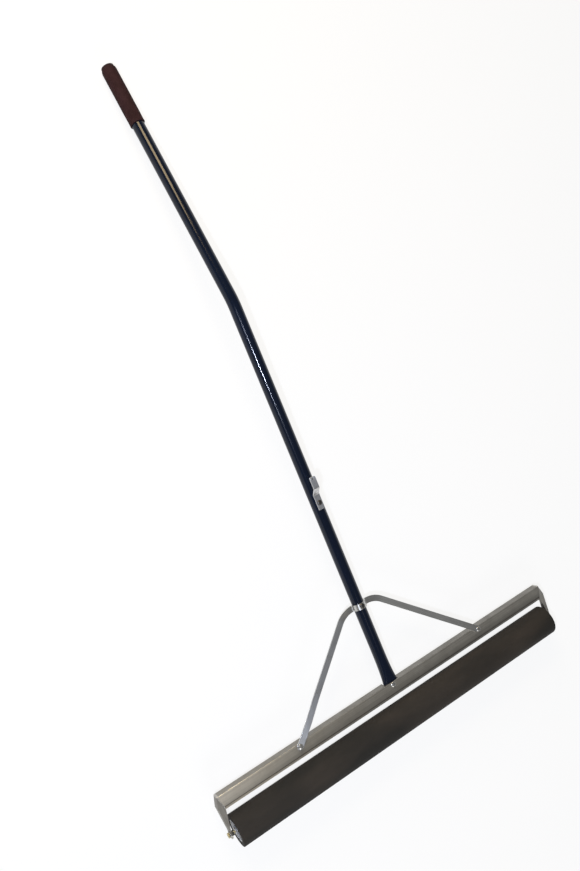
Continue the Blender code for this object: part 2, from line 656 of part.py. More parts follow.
def make_fasteners(tool):
    """The through bolts of the rail, the brace and the collar."""
    clamp("handle", (0, RAIL_BOLT_Y, FRONT), FRONT + FLAT_HALF_THICKNESS, HANDLE_BOLT_RADIUS,
          HANDLE_HEAD_RADIUS, HANDLE_HEAD, HANDLE_HEX, HANDLE_NUT, tool)
    saddle_top = SADDLE_RADIUS + BAR_THICKNESS / 2
    clamp("collar", (0, BRACE_FROM_AXLE, saddle_top), saddle_top + TUBE_RADIUS, SCREW_RADIUS,
          SCREW_HEAD_RADIUS, SCREW_HEAD, SCREW_HEX, SCREW_NUT, tool)
    leg_front = LEG_REST + BAR_THICKNESS / 2
    for side, hand in (("left", -1), ("right", 1)):
        clamp(f"brace_{side}", (hand * BRACE_BOLT_OFFSET, RAIL_BOLT_Y, leg_front),
              leg_front - FRONT + FRAME_WALL, SCREW_RADIUS, SCREW_HEAD_RADIUS, SCREW_HEAD,
              SCREW_HEX, SCREW_NUT, tool, washer=0)


def make_hook(tool):
    """Flat bar joggled away from the tube, open towards the grip, held by one screw."""
    low = TUBE_RADIUS + TOUCH
    foot_end = HOOK_FOOT + HOOK_FOOT_LENGTH
    rise_end = foot_end + HOOK_RISE_RUN
    tip = rise_end + HOOK_TIP_LENGTH
    inner = [(HOOK_FOOT, low), (foot_end, low), (rise_end, low + HOOK_STANDOFF),
             (tip, low + HOOK_STANDOFF)]
    slope = math.atan2(HOOK_STANDOFF, HOOK_RISE_RUN)
    shift = BAR_THICKNESS * math.tan(slope / 2)
    top = low + BAR_THICKNESS
    outer = [(HOOK_FOOT, top), (foot_end - shift, top), (rise_end - shift, top + HOOK_STANDOFF),
             (tip, top + HOOK_STANDOFF)]
    shape = bmesh.new()
    prism(shape, inner + outer[::-1], -BAR_WIDTH / 2, BAR_WIDTH / 2, 0)
    hook = finish("hanger_hook", shape, tool, "mill_aluminium")
    drill(hook, "hook_hole_guide", (0, HOOK_SCREW_Y, low), (0, 0, 1), SCREW_RADIUS + HOLE_PLAY,
          2 * BAR_THICKNESS)
    drill(hook, "hook_eye_guide", (0, tip - HOOK_EYE_INSET, top + HOOK_STANDOFF), (0, 0, 1),
          HOOK_EYE_RADIUS, 2 * BAR_THICKNESS)
    screw = domed_screw("hook_screw", SCREW_RADIUS, HOOK_SCREW_HEAD_RADIUS, SCREW_HEAD,
                        HOOK_SCREW_LENGTH, tool)
    aim(screw, (0, HOOK_SCREW_Y, top + TOUCH), (0, 0, 1))


def clear_scene():
    for old in list(bpy.data.objects):
        bpy.data.objects.remove(old, do_unlink=True)


def empty(name, parent):
    made = bpy.data.objects.new(name, None)
    bpy.context.scene.collection.objects.link(made)
    made.parent = parent
    return made


clear_scene()
tool_axes = empty("tool_axes", None)
tool_axes.location = axle_place()
tool_axes.rotation_euler.x = lay_angle()
roller_axis = empty("roller_axis", tool_axes)
roller_axis.rotation_euler.x = -lay_angle()

make_roller(roller_axis)
make_rail(tool_axes)
for arm_side, arm_hand in (("left", -1), ("right", 1)):
    make_arm(arm_side, arm_hand, tool_axes)
    make_axle(arm_side, arm_hand, tool_axes)
make_handle(tool_axes)
make_grip(tool_axes)
make_brace(tool_axes)
make_fasteners(tool_axes)
make_hook(tool_axes)
bpy.context.view_layer.update()
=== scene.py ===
import json
import math

import bmesh
import bpy
from mathutils import Matrix, Vector


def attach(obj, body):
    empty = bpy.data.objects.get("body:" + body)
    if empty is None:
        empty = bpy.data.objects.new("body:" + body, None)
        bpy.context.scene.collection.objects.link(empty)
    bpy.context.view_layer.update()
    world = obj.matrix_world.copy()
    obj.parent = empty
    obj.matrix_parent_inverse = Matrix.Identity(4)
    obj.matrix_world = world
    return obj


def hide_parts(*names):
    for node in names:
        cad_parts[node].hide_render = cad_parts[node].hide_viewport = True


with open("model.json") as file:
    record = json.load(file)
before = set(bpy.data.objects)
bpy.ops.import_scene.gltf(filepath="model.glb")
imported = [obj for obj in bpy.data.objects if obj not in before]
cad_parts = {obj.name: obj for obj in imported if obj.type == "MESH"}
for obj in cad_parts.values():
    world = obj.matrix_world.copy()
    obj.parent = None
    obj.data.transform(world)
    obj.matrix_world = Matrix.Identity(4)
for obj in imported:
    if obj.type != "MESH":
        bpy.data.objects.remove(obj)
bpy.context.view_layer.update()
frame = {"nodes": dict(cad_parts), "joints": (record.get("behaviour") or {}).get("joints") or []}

MM = 0.001

# Camera: it stands over the grip's left side and looks down along the handle at the roller,
# as someone does who has just laid the tool on the floor. Its field is that of a short zoom.
CAMERA_PLACE = (-0.761451, 0.029942, 1.833476)
CAMERA_RIGHT = Vector((0.8245299, -0.4103630, 0.3895544))
CAMERA_UP = Vector((0.3989354, 0.9098561, 0.1140717))
CAMERA_AHEAD = Vector((0.4012492, -0.0613515, -0.9139120))
SENSOR_WIDTH = 36.0       # millimetres, as the lens below
LENS = 35.85

camera = bpy.data.objects.new("camera", bpy.data.cameras.new("camera"))
bpy.context.scene.collection.objects.link(camera)
camera.data.sensor_width = SENSOR_WIDTH
camera.data.lens = LENS
camera.matrix_world = Matrix.Translation(CAMERA_PLACE) @ Matrix(
    (CAMERA_RIGHT, CAMERA_UP, -CAMERA_AHEAD)).transposed().to_4x4()
bpy.context.scene.camera = camera

# Studio: a floor of seamless white paper that fades into white surroundings, under a dim
# ceiling. A small lamp by the camera draws the fine line along the tube, and soft ones beyond
# the roller, beyond the grip and over the roller light the metal and the foam.
FLOOR_HALF = 9.0
FLOOR_WHITE = 0.84        # share of the floor that is drawn white, so its shadows stay faint
FADE_START = 2.0          # from here out to the fade's end the floor turns wholly white
FADE_END = 7.0
HORIZON = 0.1             # height of a direction, as the sine of its angle above the floor
CEILING_FROM = 0.5
CEILING = 0.2             # strength of the ceiling's light


def linear(code):
    """sRGB hex colour as the linear values that a shader takes."""
    parts = [int(code[i:i + 2], 16) / 255 for i in (1, 3, 5)]
    return tuple(v / 12.92 if v <= 0.04045 else ((v + 0.055) / 1.055) ** 2.4
                 for v in parts) + (1.0,)


def add(tree, kind, sockets=(), **settings):
    """Add a node with its settings, and fill or link its sockets."""
    made = tree.nodes.new("ShaderNode" + kind)
    for key, value in settings.items():
        setattr(made, key, value)
    for socket, value in dict(sockets).items():
        if isinstance(value, bpy.types.NodeSocket):
            tree.links.new(value, made.inputs[socket])
        else:
            made.inputs[socket].default_value = value
    return made


def shown(tree):
    """1 for the rays that show the background: the camera's, reflected and passed-through."""
    sight = add(tree, "LightPath")
    either = add(tree, "Math", {0: sight.outputs["Is Camera Ray"],
                                1: sight.outputs["Is Glossy Ray"]}, operation="MAXIMUM")
    return add(tree, "Math", {0: either.outputs[0], 1: sight.outputs["Is Transmission Ray"]},
               operation="MAXIMUM").outputs[0]


floor_mesh = bmesh.new()
bmesh.ops.create_grid(floor_mesh, x_segments=1, y_segments=1, size=FLOOR_HALF)
floor_data = bpy.data.meshes.new("studio_floor")
floor_mesh.to_mesh(floor_data)
floor_mesh.free()
floor = bpy.data.objects.new("studio_floor", floor_data)
bpy.context.scene.collection.objects.link(floor)

# Smooth matt paper: it takes the soft shadows, and the eye sees an even white.
paper = bpy.data.materials.new("seamless_paper")
paper.use_nodes = True
tree = paper.node_tree
tree.nodes.clear()
from_middle = add(tree, "VectorMath", {0: add(tree, "TexCoord").outputs["Object"]},
                  operation="LENGTH")
whiteness = add(tree, "MapRange", {"Value": from_middle.outputs["Value"],
                                   "From Min": FADE_START, "From Max": FADE_END,
                                   "To Min": FLOOR_WHITE, "To Max": 1.0},
                interpolation_type="SMOOTHSTEP")
drawn_white = add(tree, "Math", {0: shown(tree), 1: whiteness.outputs[0]}, operation="MULTIPLY")
sheet = add(tree, "BsdfDiffuse", {"Color": linear("#F4F4F3")})
glow = add(tree, "Emission", {"Color": linear("#FFFFFF"), "Strength": 1.0})
both = add(tree, "MixShader", {0: drawn_white.outputs[0], 1: sheet.outputs[0],
                               2: glow.outputs[0]})
add(tree, "OutputMaterial", {"Surface": both.outputs[0]})
floor.data.materials.append(paper)

world = bpy.data.worlds.new("studio")
bpy.context.scene.world = world
world.use_nodes = True
tree = world.node_tree
tree.nodes.clear()
toward = add(tree, "SeparateXYZ", {0: add(tree, "TexCoord").outputs["Generated"]})
dimming = add(tree, "MapRange", {"Value": toward.outputs["Z"], "From Min": HORIZON,
                                 "From Max": CEILING_FROM, "To Min": 1.0, "To Max": CEILING},
              interpolation_type="SMOOTHSTEP")
room = add(tree, "Background", {"Color": linear("#FFFFFF"), "Strength": dimming.outputs[0]})
white = add(tree, "Background", {"Color": linear("#FFFFFF"), "Strength": 1.0})
low = add(tree, "Math", {0: toward.outputs["Z"], 1: HORIZON}, operation="LESS_THAN")
backdrop = add(tree, "Math", {0: shown(tree), 1: low.outputs[0]}, operation="MULTIPLY")
in_view = add(tree, "Math", {0: backdrop.outputs[0],
                             1: add(tree, "LightPath").outputs["Is Camera Ray"]},
              operation="MAXIMUM")
seen = add(tree, "MixShader", {0: in_view.outputs[0], 1: room.outputs[0], 2: white.outputs[0]})
add(tree, "OutputWorld", {"Surface": seen.outputs[0]})

bpy.context.scene.view_settings.view_transform = "Standard"


def lamp(name, place, target, size, power, colour="#FFFFFF"):
    """A soft rectangular lamp that faces its target."""
    data = bpy.data.lights.new(name, "AREA")
    data.shape = "RECTANGLE"
    data.size, data.size_y = size
    data.energy = power
    data.color = linear(colour)[:3]
    made = bpy.data.objects.new(name, data)
    bpy.context.scene.collection.objects.link(made)
    made.location = place
    made.rotation_mode = "QUATERNION"
    made.rotation_quaternion = (Vector(target) - Vector(place)).to_track_quat("-Z", "Y")


lamp("key_by_camera", place=(-1.08, -0.16, 1.94), target=(0.0, 0.0, 0.0), size=(0.055, 0.055),
     power=31.0, colour="#DCE6FF")
lamp("beyond_roller", place=(-0.8, -3.2, 1.9), target=(0.0, -0.4, 0.0), size=(1.6, 1.0),
     power=28.0)
lamp("beyond_grip", place=(-0.1, 3.4, 1.5), target=(0.0, 0.4, 0.0), size=(0.8, 1.0), power=26.0)
lamp("warm_streak", place=(-0.3, 1.78, 1.7), target=(0.0, 0.6, 0.07), size=(1.1, 0.55),
     power=28.0, colour="#FFE4B2")
lamp("above_roller", place=(-0.104, -1.16, 1.4), target=(-0.3, -0.7, 0.0), size=(0.2, 0.2),
     power=0.15)

# Foam sleeve: closed-cell sponge rubber, extruded as a thick tube, skinned and buffed, and
# pushed over the core. Its cut ends are a little rounded.
AXLE = Vector(frame["joints"][0]["pos_m"])
SLEEVE_HALF = 457.2 * MM
SLEEVE_RADIUS = 36.5 * MM
SLEEVE_BORE = 25.7 * MM
SLEEVE_EDGE = 1.5 * MM
SLEEVE_SIDES = 128
SLEEVE_EDGE_STEPS = 3
SPONGE = "#24221E"
SPONGE_WORN = "#37312A"
BUFFING = 1.6 * MM        # rings, drawn coarser than the real 0.5 mm ones so that they show
RING_RUN = 250.0 * MM     # how far round the roller a ring keeps its depth
CELLS = 2.5 * MM          # clusters of cells, since single ones are too fine to show
PATCH_LENGTH = 200.0 * MM
PATCH_WIDTH = 71.43 * MM
NEAR = 1e-6               # points closer than this are one


def quarter(steps):
    """Angles from nothing to a right angle."""
    return [math.pi / 2 * i / steps for i in range(steps + 1)]


def turn(profile, steps, closed=True):
    """A bmesh spun from (along X, radius) points, with its faces out."""
    shape = bmesh.new()
    points = [shape.verts.new((along, 0.0, radius)) for along, radius in profile]
    edges = [shape.edges.new(pair) for pair in zip(points, points[1:])]
    if closed:
        edges.append(shape.edges.new((points[-1], points[0])))
    bmesh.ops.spin(shape, geom=points + edges, cent=(0, 0, 0), axis=(1, 0, 0),
                   angle=math.tau, steps=steps, use_merge=True)
    bmesh.ops.remove_doubles(shape, verts=shape.verts, dist=NEAR)
    bmesh.ops.recalc_face_normals(shape, faces=shape.faces)
    return shape


def finish(name):
    """A new material with an empty tree, its shader and its output."""
    made = bpy.data.materials.new(name)
    made.use_nodes = True
    made.node_tree.nodes.clear()
    shader = add(made.node_tree, "BsdfPrincipled")
    add(made.node_tree, "OutputMaterial", {"Surface": shader.outputs[0]})
    return made, made.node_tree, shader


def piece(name, shape, body, material, place=Matrix(), round_edges=0.0, sharp=35.0):
    """Make the finished object, in its place, riding on its body."""
    shape.transform(place)
    data = bpy.data.meshes.new(name)
    shape.to_mesh(data)
    shape.free()
    data.shade_smooth()
    data.set_sharp_from_angle(angle=math.radians(sharp))
    data.materials.append(material)
    made = bpy.data.objects.new(name, data)
    bpy.context.scene.collection.objects.link(made)
    if round_edges:
        step = made.modifiers.new("eased edges", "BEVEL")
        step.width = round_edges
        step.segments = 2
        step.limit_method = "ANGLE"
        step.angle_limit = math.radians(sharp)
        step.harden_normals = True
    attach(made, body)
    return made


# Buffed sponge rubber: a matt charcoal with a brown cast, faint rings round it, and lighter
# patches where it has worn.
foam, tree, shader = finish("closed_cell_sponge_rubber")
place = add(tree, "TexCoord").outputs["Object"]
rings = add(tree, "Mapping", {"Vector": place,
                              "Scale": (1 / BUFFING, 1 / RING_RUN, 1 / RING_RUN)})
buffed = add(tree, "TexNoise", {"Vector": rings.outputs[0], "Scale": 1.0, "Detail": 3.0})
cells = add(tree, "TexNoise", {"Vector": place, "Scale": 1 / CELLS, "Detail": 2.0})
long = add(tree, "Mapping", {"Vector": place,
                             "Scale": (1 / PATCH_LENGTH, 1 / PATCH_WIDTH, 1 / PATCH_WIDTH)})
patches = add(tree, "TexNoise", {"Vector": long.outputs[0], "Scale": 1.0, "Detail": 3.0})
worn = add(tree, "MapRange", {"Value": patches.outputs[0], "From Min": 0.35, "From Max": 0.7})
tone = add(tree, "Mix", {0: worn.outputs[0], 6: linear(SPONGE), 7: linear(SPONGE_WORN)},
           data_type="RGBA")
grain = add(tree, "MapRange", {"Value": cells.outputs[0], "To Min": 0.82, "To Max": 1.14})
speckled = add(tree, "VectorMath", {0: tone.outputs[2], "Scale": grain.outputs[0]},
               operation="SCALE")
tree.links.new(speckled.outputs[0], shader.inputs["Base Color"])
relief = add(tree, "Math", {0: buffed.outputs[0], 1: cells.outputs[0]}, operation="ADD")
bump = add(tree, "Bump", {"Height": relief.outputs[0], "Strength": 0.35, "Distance": 0.3 * MM})
tree.links.new(bump.outputs[0], shader.inputs["Normal"])
dull = add(tree, "MapRange", {"Value": cells.outputs[0], "To Min": 0.78, "To Max": 0.95})
tree.links.new(dull.outputs[0], shader.inputs["Roughness"])
shader.inputs["IOR"].default_value = 1.5
shader.inputs["Specular IOR Level"].default_value = 0.25

rim = [(math.sin(a) * SLEEVE_EDGE, math.cos(a) * SLEEVE_EDGE)
       for a in quarter(SLEEVE_EDGE_STEPS)]
along, across = SLEEVE_HALF - SLEEVE_EDGE, SLEEVE_RADIUS - SLEEVE_EDGE
profile = [(-SLEEVE_HALF, SLEEVE_BORE), (SLEEVE_HALF, SLEEVE_BORE)]
profile += [(along + x, across + r) for x, r in reversed(rim)]
profile += [(-along - x, across + r) for x, r in rim]
sleeve = piece("foam_sleeve", turn(profile, SLEEVE_SIDES), "roller", foam,
               Matrix.Translation(AXLE))
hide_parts("roller_sleeve")

# End plugs: injection-moulded plastic, each with a raised rim, a dished web and a hub, and a
# cup behind that is a press fit in the core tube. A turned bush sits in each hub.
CORE_RADIUS = 25.4 * MM
PLUG_FACE = 456.2 * MM    # outer face of the rim, from the middle of the tool
PLUG_FLANGE = 4.5 * MM
PLUG_DEPTH = 22.5 * MM    # from the outer face to the inner end
PLUG_WEB = 2.4 * MM
PLUG_RIM = 22.0 * MM      # inner radius of the rim
CUP_RADIUS = 22.7 * MM
CUP_BORE = 20.1 * MM
HUB_STEP = 1.5 * MM       # how far the hub stands out past the rim
HUB_RADIUS = 11.0 * MM
HUB_BORE = 6.7 * MM
MOULD_EDGE = 0.5 * MM     # eased outer edges
MOULD_FILLET = 0.8 * MM
PLUG_SIDES = 64
PLUG_GRIME = 9.0 * MM
PLUG_TEXTURE = 1.2 * MM   # spark-eroded mould texture, drawn coarser so that it shows
DISH_SHADE_END = 22.6 * MM      # the painted shade in the dish runs up on to the rim's edge
PIPE_LINES = 2.5 * MM
PIPE_RUN = 250.0 * MM     # length over which a drawn line keeps its tone
BUSH_CLOUDS = 3.0 * MM

# Moulded polypropylene: a pale grey with a soft sheen. Inside the rim it is drawn darker grey,
# which is painted shade, and random spots of dirt darken it too.
plastic, tree, shader = finish("moulded_polypropylene")
place = add(tree, "TexCoord").outputs["Object"]
grime = add(tree, "TexNoise", {"Vector": place, "Scale": 1 / PLUG_GRIME, "Detail": 4.0})
outward = add(tree, "VectorMath", {0: place, 1: AXLE}, operation="SUBTRACT")
outward = add(tree, "VectorMath", {0: outward.outputs[0], 1: (0.0, 1.0, 1.0)},
              operation="MULTIPLY")
from_axle = add(tree, "VectorMath", {0: outward.outputs[0]}, operation="LENGTH")
# Painted shade: inside the rim the web and hub are drawn darker grey.
dished = add(tree, "MapRange", {"Value": from_axle.outputs["Value"],
                                "From Min": PLUG_RIM - MOULD_EDGE, "From Max": DISH_SHADE_END,
                                "To Min": 0.85, "To Max": 0.0})
spread = add(tree, "MapRange", {"Value": grime.outputs[0], "From Min": 0.4, "From Max": 0.75})
dirt_and_dish_shade = add(tree, "Math", {0: dished.outputs[0], 1: spread.outputs[0]}, operation="MAXIMUM")
tone = add(tree, "Mix", {0: dirt_and_dish_shade.outputs[0], 6: linear("#C6C7C4"), 7: linear("#7A797A")},
           data_type="RGBA")
tree.links.new(tone.outputs[2], shader.inputs["Base Color"])
fine = add(tree, "TexNoise", {"Vector": place, "Scale": 1 / PLUG_TEXTURE, "Detail": 2.0})
bump = add(tree, "Bump", {"Height": fine.outputs[0], "Strength": 0.15, "Distance": 0.1 * MM})
tree.links.new(bump.outputs[0], shader.inputs["Normal"])
sheen = add(tree, "MapRange", {"Value": grime.outputs[0], "To Min": 0.35, "To Max": 0.6})
tree.links.new(sheen.outputs[0], shader.inputs["Roughness"])
shader.inputs["IOR"].default_value = 1.49

face, back, deep = PLUG_FACE, PLUG_FACE - PLUG_FLANGE, PLUG_FACE - PLUG_DEPTH
web, hub = back + PLUG_WEB, PLUG_FACE + HUB_STEP
profile = [
    (hub, HUB_BORE), (hub, HUB_RADIUS - MOULD_EDGE), (hub - MOULD_EDGE, HUB_RADIUS),
    (web + MOULD_FILLET, HUB_RADIUS), (web, HUB_RADIUS + MOULD_FILLET),
    (web, PLUG_RIM - MOULD_FILLET), (web + MOULD_FILLET, PLUG_RIM),
    (face - MOULD_EDGE, PLUG_RIM), (face, PLUG_RIM + MOULD_EDGE),
    (face, CORE_RADIUS - MOULD_FILLET), (face - MOULD_FILLET, CORE_RADIUS),
    (back, CORE_RADIUS), (back, CUP_RADIUS), (deep, CUP_RADIUS), (deep, CUP_BORE),
    (back, CUP_BORE), (back, HUB_RADIUS), (deep, HUB_RADIUS), (deep, HUB_BORE),
]
for side, hand in (("left", -1), ("right", 1)):
    plug = piece(f"plug_{side}", turn(profile, PLUG_SIDES), "roller", plastic,
                 Matrix.Translation(AXLE) @ Matrix.Diagonal((hand, 1, 1, 1)))
    if hand < 0:
        plug.data.flip_normals()
    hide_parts(f"end_plug_{side}")

# Extruded PVC pipe for the core: a dull pale grey with faint drawn lines along it.
extruded, tree, shader = finish("extruded_pvc")
place = add(tree, "TexCoord").outputs["Object"]
streaks = add(tree, "Mapping", {"Vector": place,
                                "Scale": (1 / PIPE_RUN, 1 / PIPE_LINES, 1 / PIPE_LINES)})
lines = add(tree, "TexNoise", {"Vector": streaks.outputs[0], "Scale": 1.0, "Detail": 2.0})
tone = add(tree, "Mix", {0: lines.outputs[0], 6: linear("#9C9C97"), 7: linear("#ACACA6")},
           data_type="RGBA")
tree.links.new(tone.outputs[2], shader.inputs["Base Color"])
shader.inputs["Roughness"].default_value = 0.5
frame["nodes"]["roller_core"].material_slots[0].material = extruded

# Turned nylon for the bushes: a slightly cloudy off-white.
nylon, tree, shader = finish("turned_nylon")
place = add(tree, "TexCoord").outputs["Object"]
cloudy = add(tree, "TexNoise", {"Vector": place, "Scale": 1 / BUSH_CLOUDS, "Detail": 2.0})
tone = add(tree, "Mix", {0: cloudy.outputs[0], 6: linear("#A9A8A3"), 7: linear("#B6B5B0")},
           data_type="RGBA")
tree.links.new(tone.outputs[2], shader.inputs["Base Color"])
shader.inputs["Roughness"].default_value = 0.4
for side in ("left", "right"):
    frame["nodes"][f"axle_bush_{side}"].material_slots[0].material = nylon

# Rail: extruded aluminium angle, its lower lip flared a little, with a notch in its top for the
# tube's flattened foot. It is mitred at both ends and welded to the arms.
TILT = math.asin(0.07758966)
TOOL = Matrix.Translation(AXLE) @ Matrix.Rotation(TILT, 4, "X")
FRONT = 10.3 * MM         # half the depth of the frame
WALL = 2.5 * MM
RAIL_TOP = 90.5 * MM      # heights are measured from the axle
RAIL_BOTTOM = 58.75 * MM
RAIL_HALF = 466.2 * MM
RAIL_SPARE = 23.8 * MM    # length past each corner, which the mitre takes off
LIP_IN = 458.5 * MM       # inner end of the mitre, at the rail's lower edge
TOE_HEIGHT = 5.0 * MM
TOE_FLARE = 1.5 * MM
CORNER_OUT = 1.4 * MM     # radii of the angle's corner, outside and inside
CORNER_IN = 1.2 * MM
MITRE_GAP = 0.15 * MM
NOTCH_HALF = 18.4 * MM
NOTCH_CHEEK = 0.5 * MM    # how far the notch reaches below the top's inner face
RAIL_EASE = 0.35 * MM
DIE_LINES = 2.6 * MM      # die lines are finer than this, and are widened so that they show
DIE_RUN = 333.3 * MM      # length over which a die line keeps its tone
RAIL_MARKS = 30.0 * MM
CREASE_HALF = 1.5 * MM    # half the width of the painted shade line in the lip's fold
CREASE_CORE = 0.6 * MM    # half the width of its darkest part
FOLD_DARKENING_REACH = 17.0 * MM    # how far up the web it is drawn darker towards the fold
ALONG_FRAME = (1.0, 0.0, 0.0)
ALONG_HANDLE = (0.0, 0.99699, 0.07759)


def metal(name, bright, dull, along, marks, rough, grain=None, wear=0.5, dusty_and_shaded=0.0, sides=0.0,
          crease=0.0):
    """Bare metal: fine lines along its grain and duller marks.

    grain is a direction, or "bar" for a piece whose mesh keeps its own. The share after wear
    paints shade on what faces the grip, and sides paints shade on what faces sideways. crease is
    a height above the axle where a painted shade line lies in a fold, with the metal drawn
    darker towards it.
    """
    made, tree, shader = finish(name)
    if grain == "bar":
        place = add(tree, "Attribute", attribute_name="bar_place").outputs["Vector"]
    else:
        place = add(tree, "TexCoord").outputs["Object"]
    stretched = add(tree, "Mapping", {"Vector": place, "Scale": along})
    lines = add(tree, "TexNoise", {"Vector": stretched.outputs[0], "Scale": 1.0, "Detail": 4.0})
    blotch = add(tree, "TexNoise", {"Vector": place, "Scale": 1 / marks, "Detail": 5.0,
                                    "Roughness": 0.6})
    worn = add(tree, "MapRange", {"Value": blotch.outputs[0], "From Min": 0.38,
                                  "From Max": 0.72, "To Max": wear})
    shade = add(tree, "MapRange", {"Value": lines.outputs[0], "From Min": 0.3, "From Max": 0.7,
                                   "To Min": 0.88, "To Max": 1.1})
    tone = add(tree, "Mix", {0: worn.outputs[0], 6: linear(bright), 7: linear(dull)},
               data_type="RGBA")
    lined = add(tree, "VectorMath", {0: tone.outputs[2], "Scale": shade.outputs[0]},
                operation="SCALE")
    surface = add(tree, "NewGeometry").outputs["Normal"]
    facing = add(tree, "SeparateXYZ", {0: surface})
    # Painted shade: faces turned towards the grip are drawn darker.
    dust_and_shade = add(tree, "MapRange", {"Value": facing.outputs["Y"], "From Min": 0.5, "From Max": 0.95,
                                  "To Min": 1.0, "To Max": 1.0 - dusty_and_shaded})
    # Painted shade: faces turned sideways are drawn darker.
    aside = add(tree, "Math", {0: facing.outputs["X"]}, operation="ABSOLUTE")
    shaded = add(tree, "MapRange", {"Value": aside.outputs[0], "From Min": 0.5, "From Max": 0.95,
                                    "To Min": 1.0, "To Max": 1.0 - sides})
    grey = add(tree, "Math", {0: dust_and_shade.outputs[0], 1: shaded.outputs[0]}, operation="MULTIPLY")
    if crease:
        # Painted shade: a dark line along the lip's fold, and the metal drawn darker towards it.
        above = add(tree, "VectorMath", {0: place, 1: AXLE}, operation="SUBTRACT")
        above = add(tree, "VectorMath", {0: above.outputs[0], 1: ALONG_HANDLE},
                    operation="DOT_PRODUCT")
        away = add(tree, "Math", {0: above.outputs["Value"], 1: crease}, operation="SUBTRACT")
        away = add(tree, "Math", {0: away.outputs[0]}, operation="ABSOLUTE")
        line = add(tree, "MapRange", {"Value": away.outputs[0], "From Min": CREASE_CORE,
                                      "From Max": CREASE_HALF, "To Min": 0.45, "To Max": 1.0})
        grey = add(tree, "Math", {0: grey.outputs[0], 1: line.outputs[0]}, operation="MULTIPLY")
        fold_darkening = add(tree, "MapRange", {"Value": away.outputs[0], "From Max": FOLD_DARKENING_REACH,
                                      "To Min": 0.68, "To Max": 1.04})
        grey = add(tree, "Math", {0: grey.outputs[0], 1: fold_darkening.outputs[0]}, operation="MULTIPLY")
    toned = add(tree, "VectorMath", {0: lined.outputs[0], "Scale": grey.outputs[0]},
                operation="SCALE")
    tree.links.new(toned.outputs[0], shader.inputs["Base Color"])
    haze = add(tree, "MapRange", {"Value": blotch.outputs[0], "To Min": rough - 0.08,
                                  "To Max": rough + 0.14})
    tree.links.new(haze.outputs[0], shader.inputs["Roughness"])
    bump = add(tree, "Bump", {"Height": lines.outputs[0], "Strength": 0.15,
                              "Distance": 0.03 * MM})
    tree.links.new(bump.outputs[0], shader.inputs["Normal"])
    shader.inputs["Metallic"].default_value = 1.0
    if grain:
        lay = (add(tree, "Attribute", attribute_name="bar_grain").outputs["Vector"]
               if grain == "bar" else grain)
        across = add(tree, "VectorMath", {0: surface, 1: lay}, operation="CROSS_PRODUCT")
        tree.links.new(across.outputs[0], shader.inputs["Tangent"])
        shader.inputs["Anisotropic"].default_value = 0.85
    return made


def only(kind, geometry):
    """The verts, edges or faces among what an operator gives back."""
    return [item for item in geometry if isinstance(item, kind)]


def slice_through(shape, point, normal, clear=False):
    """Cut a mesh along a plane, and return the edges of the cut."""
    cut = bmesh.ops.bisect_plane(shape, geom=shape.verts[:] + shape.edges[:] + shape.faces[:],
                                 dist=1e-7, plane_co=point, plane_no=normal, clear_outer=clear)
    return only(bmesh.types.BMEdge, cut["geom_cut"])


def mitre(shape, hand, keep):
    """Cut along the corner's mitre; keep is 1 for the rail's side and -1 for the arm's."""
    run = Vector((hand * (RAIL_HALF - LIP_IN), RAIL_TOP - RAIL_BOTTOM, 0))
    across = Vector((run.y, -run.x, 0)).normalized() * hand
    corner = Vector((hand * RAIL_HALF, RAIL_TOP, 0))
    cut = slice_through(shape, corner - across * MITRE_GAP * keep, across * keep, clear=True)
    bmesh.ops.holes_fill(shape, edges=cut)


def outline(points, depth):
    """A solid pushed out from a flat outline."""
    shape = bmesh.new()
    face = shape.faces.new([shape.verts.new(point) for point in points])
    grown = bmesh.ops.extrude_face_region(shape, geom=[face])["geom"]
    bmesh.ops.translate(shape, vec=depth, verts=only(bmesh.types.BMVert, grown))
    bmesh.ops.recalc_face_normals(shape, faces=shape.faces)
    return shape


def soften(shape, spot, width, segments):
    """Round the long edge that passes through the given (y, z) spot."""
    chosen = [edge for edge in shape.edges if edge.calc_length() > RAIL_HALF
              and all((v.co.yz - Vector(spot)).length < NEAR for v in edge.verts)]
    bmesh.ops.bevel(shape, geom=chosen, offset=width, segments=segments, profile=0.5,
                    affect="EDGES", material=-1, offset_type="OFFSET")


# Mill-finish aluminium: fine die lines along the rail, a dull sheen and grey handling marks,
# with painted shade on its top, which faces the grip, a painted shade line in the fold of its
# lip, and the web drawn darker towards that fold.
mill = metal("mill_finish_aluminium", "#D3CFC6", "#A9A69E",
             (1 / DIE_RUN, 1 / DIE_LINES, 1 / DIE_LINES), RAIL_MARKS, 0.36, ALONG_FRAME,
             dusty_and_shaded=0.6, crease=RAIL_BOTTOM + TOE_HEIGHT)

toe = FRONT + TOE_FLARE
bend = RAIL_BOTTOM + TOE_HEIGHT
stock_half = RAIL_HALF + RAIL_SPARE
rail = outline([(-stock_half, y, z) for y, z in (
    (RAIL_TOP, -FRONT), (RAIL_TOP, FRONT), (bend, FRONT), (RAIL_BOTTOM, toe),
    (RAIL_BOTTOM, toe - WALL), (bend, FRONT - WALL), (RAIL_TOP - WALL, FRONT - WALL),
    (RAIL_TOP - WALL, -FRONT))], Vector((2 * stock_half, 0, 0)))
soften(rail, (RAIL_TOP, FRONT), CORNER_OUT, 4)
soften(rail, (RAIL_TOP - WALL, FRONT - WALL), CORNER_IN, 3)
soften(rail, (bend, FRONT), CORNER_IN, 2)
for hand in (-1, 1):
    mitre(rail, hand, 1)
bmesh.ops.recalc_face_normals(rail, faces=rail.faces)
for hand in (-1, 1):
    slice_through(rail, (hand * NOTCH_HALF, 0, 0), (1, 0, 0))
notch_front = FRONT - WALL - CORNER_IN
slice_through(rail, (0, 0, notch_front), (0, 0, 1))
middles = [(f, f.calc_center_median()) for f in rail.faces]
bmesh.ops.delete(rail, geom=[f for f, at in middles if abs(at.x) < NOTCH_HALF
                             and at.z < notch_front and at.y > RAIL_TOP - WALL - NOTCH_CHEEK],
                 context="FACES")
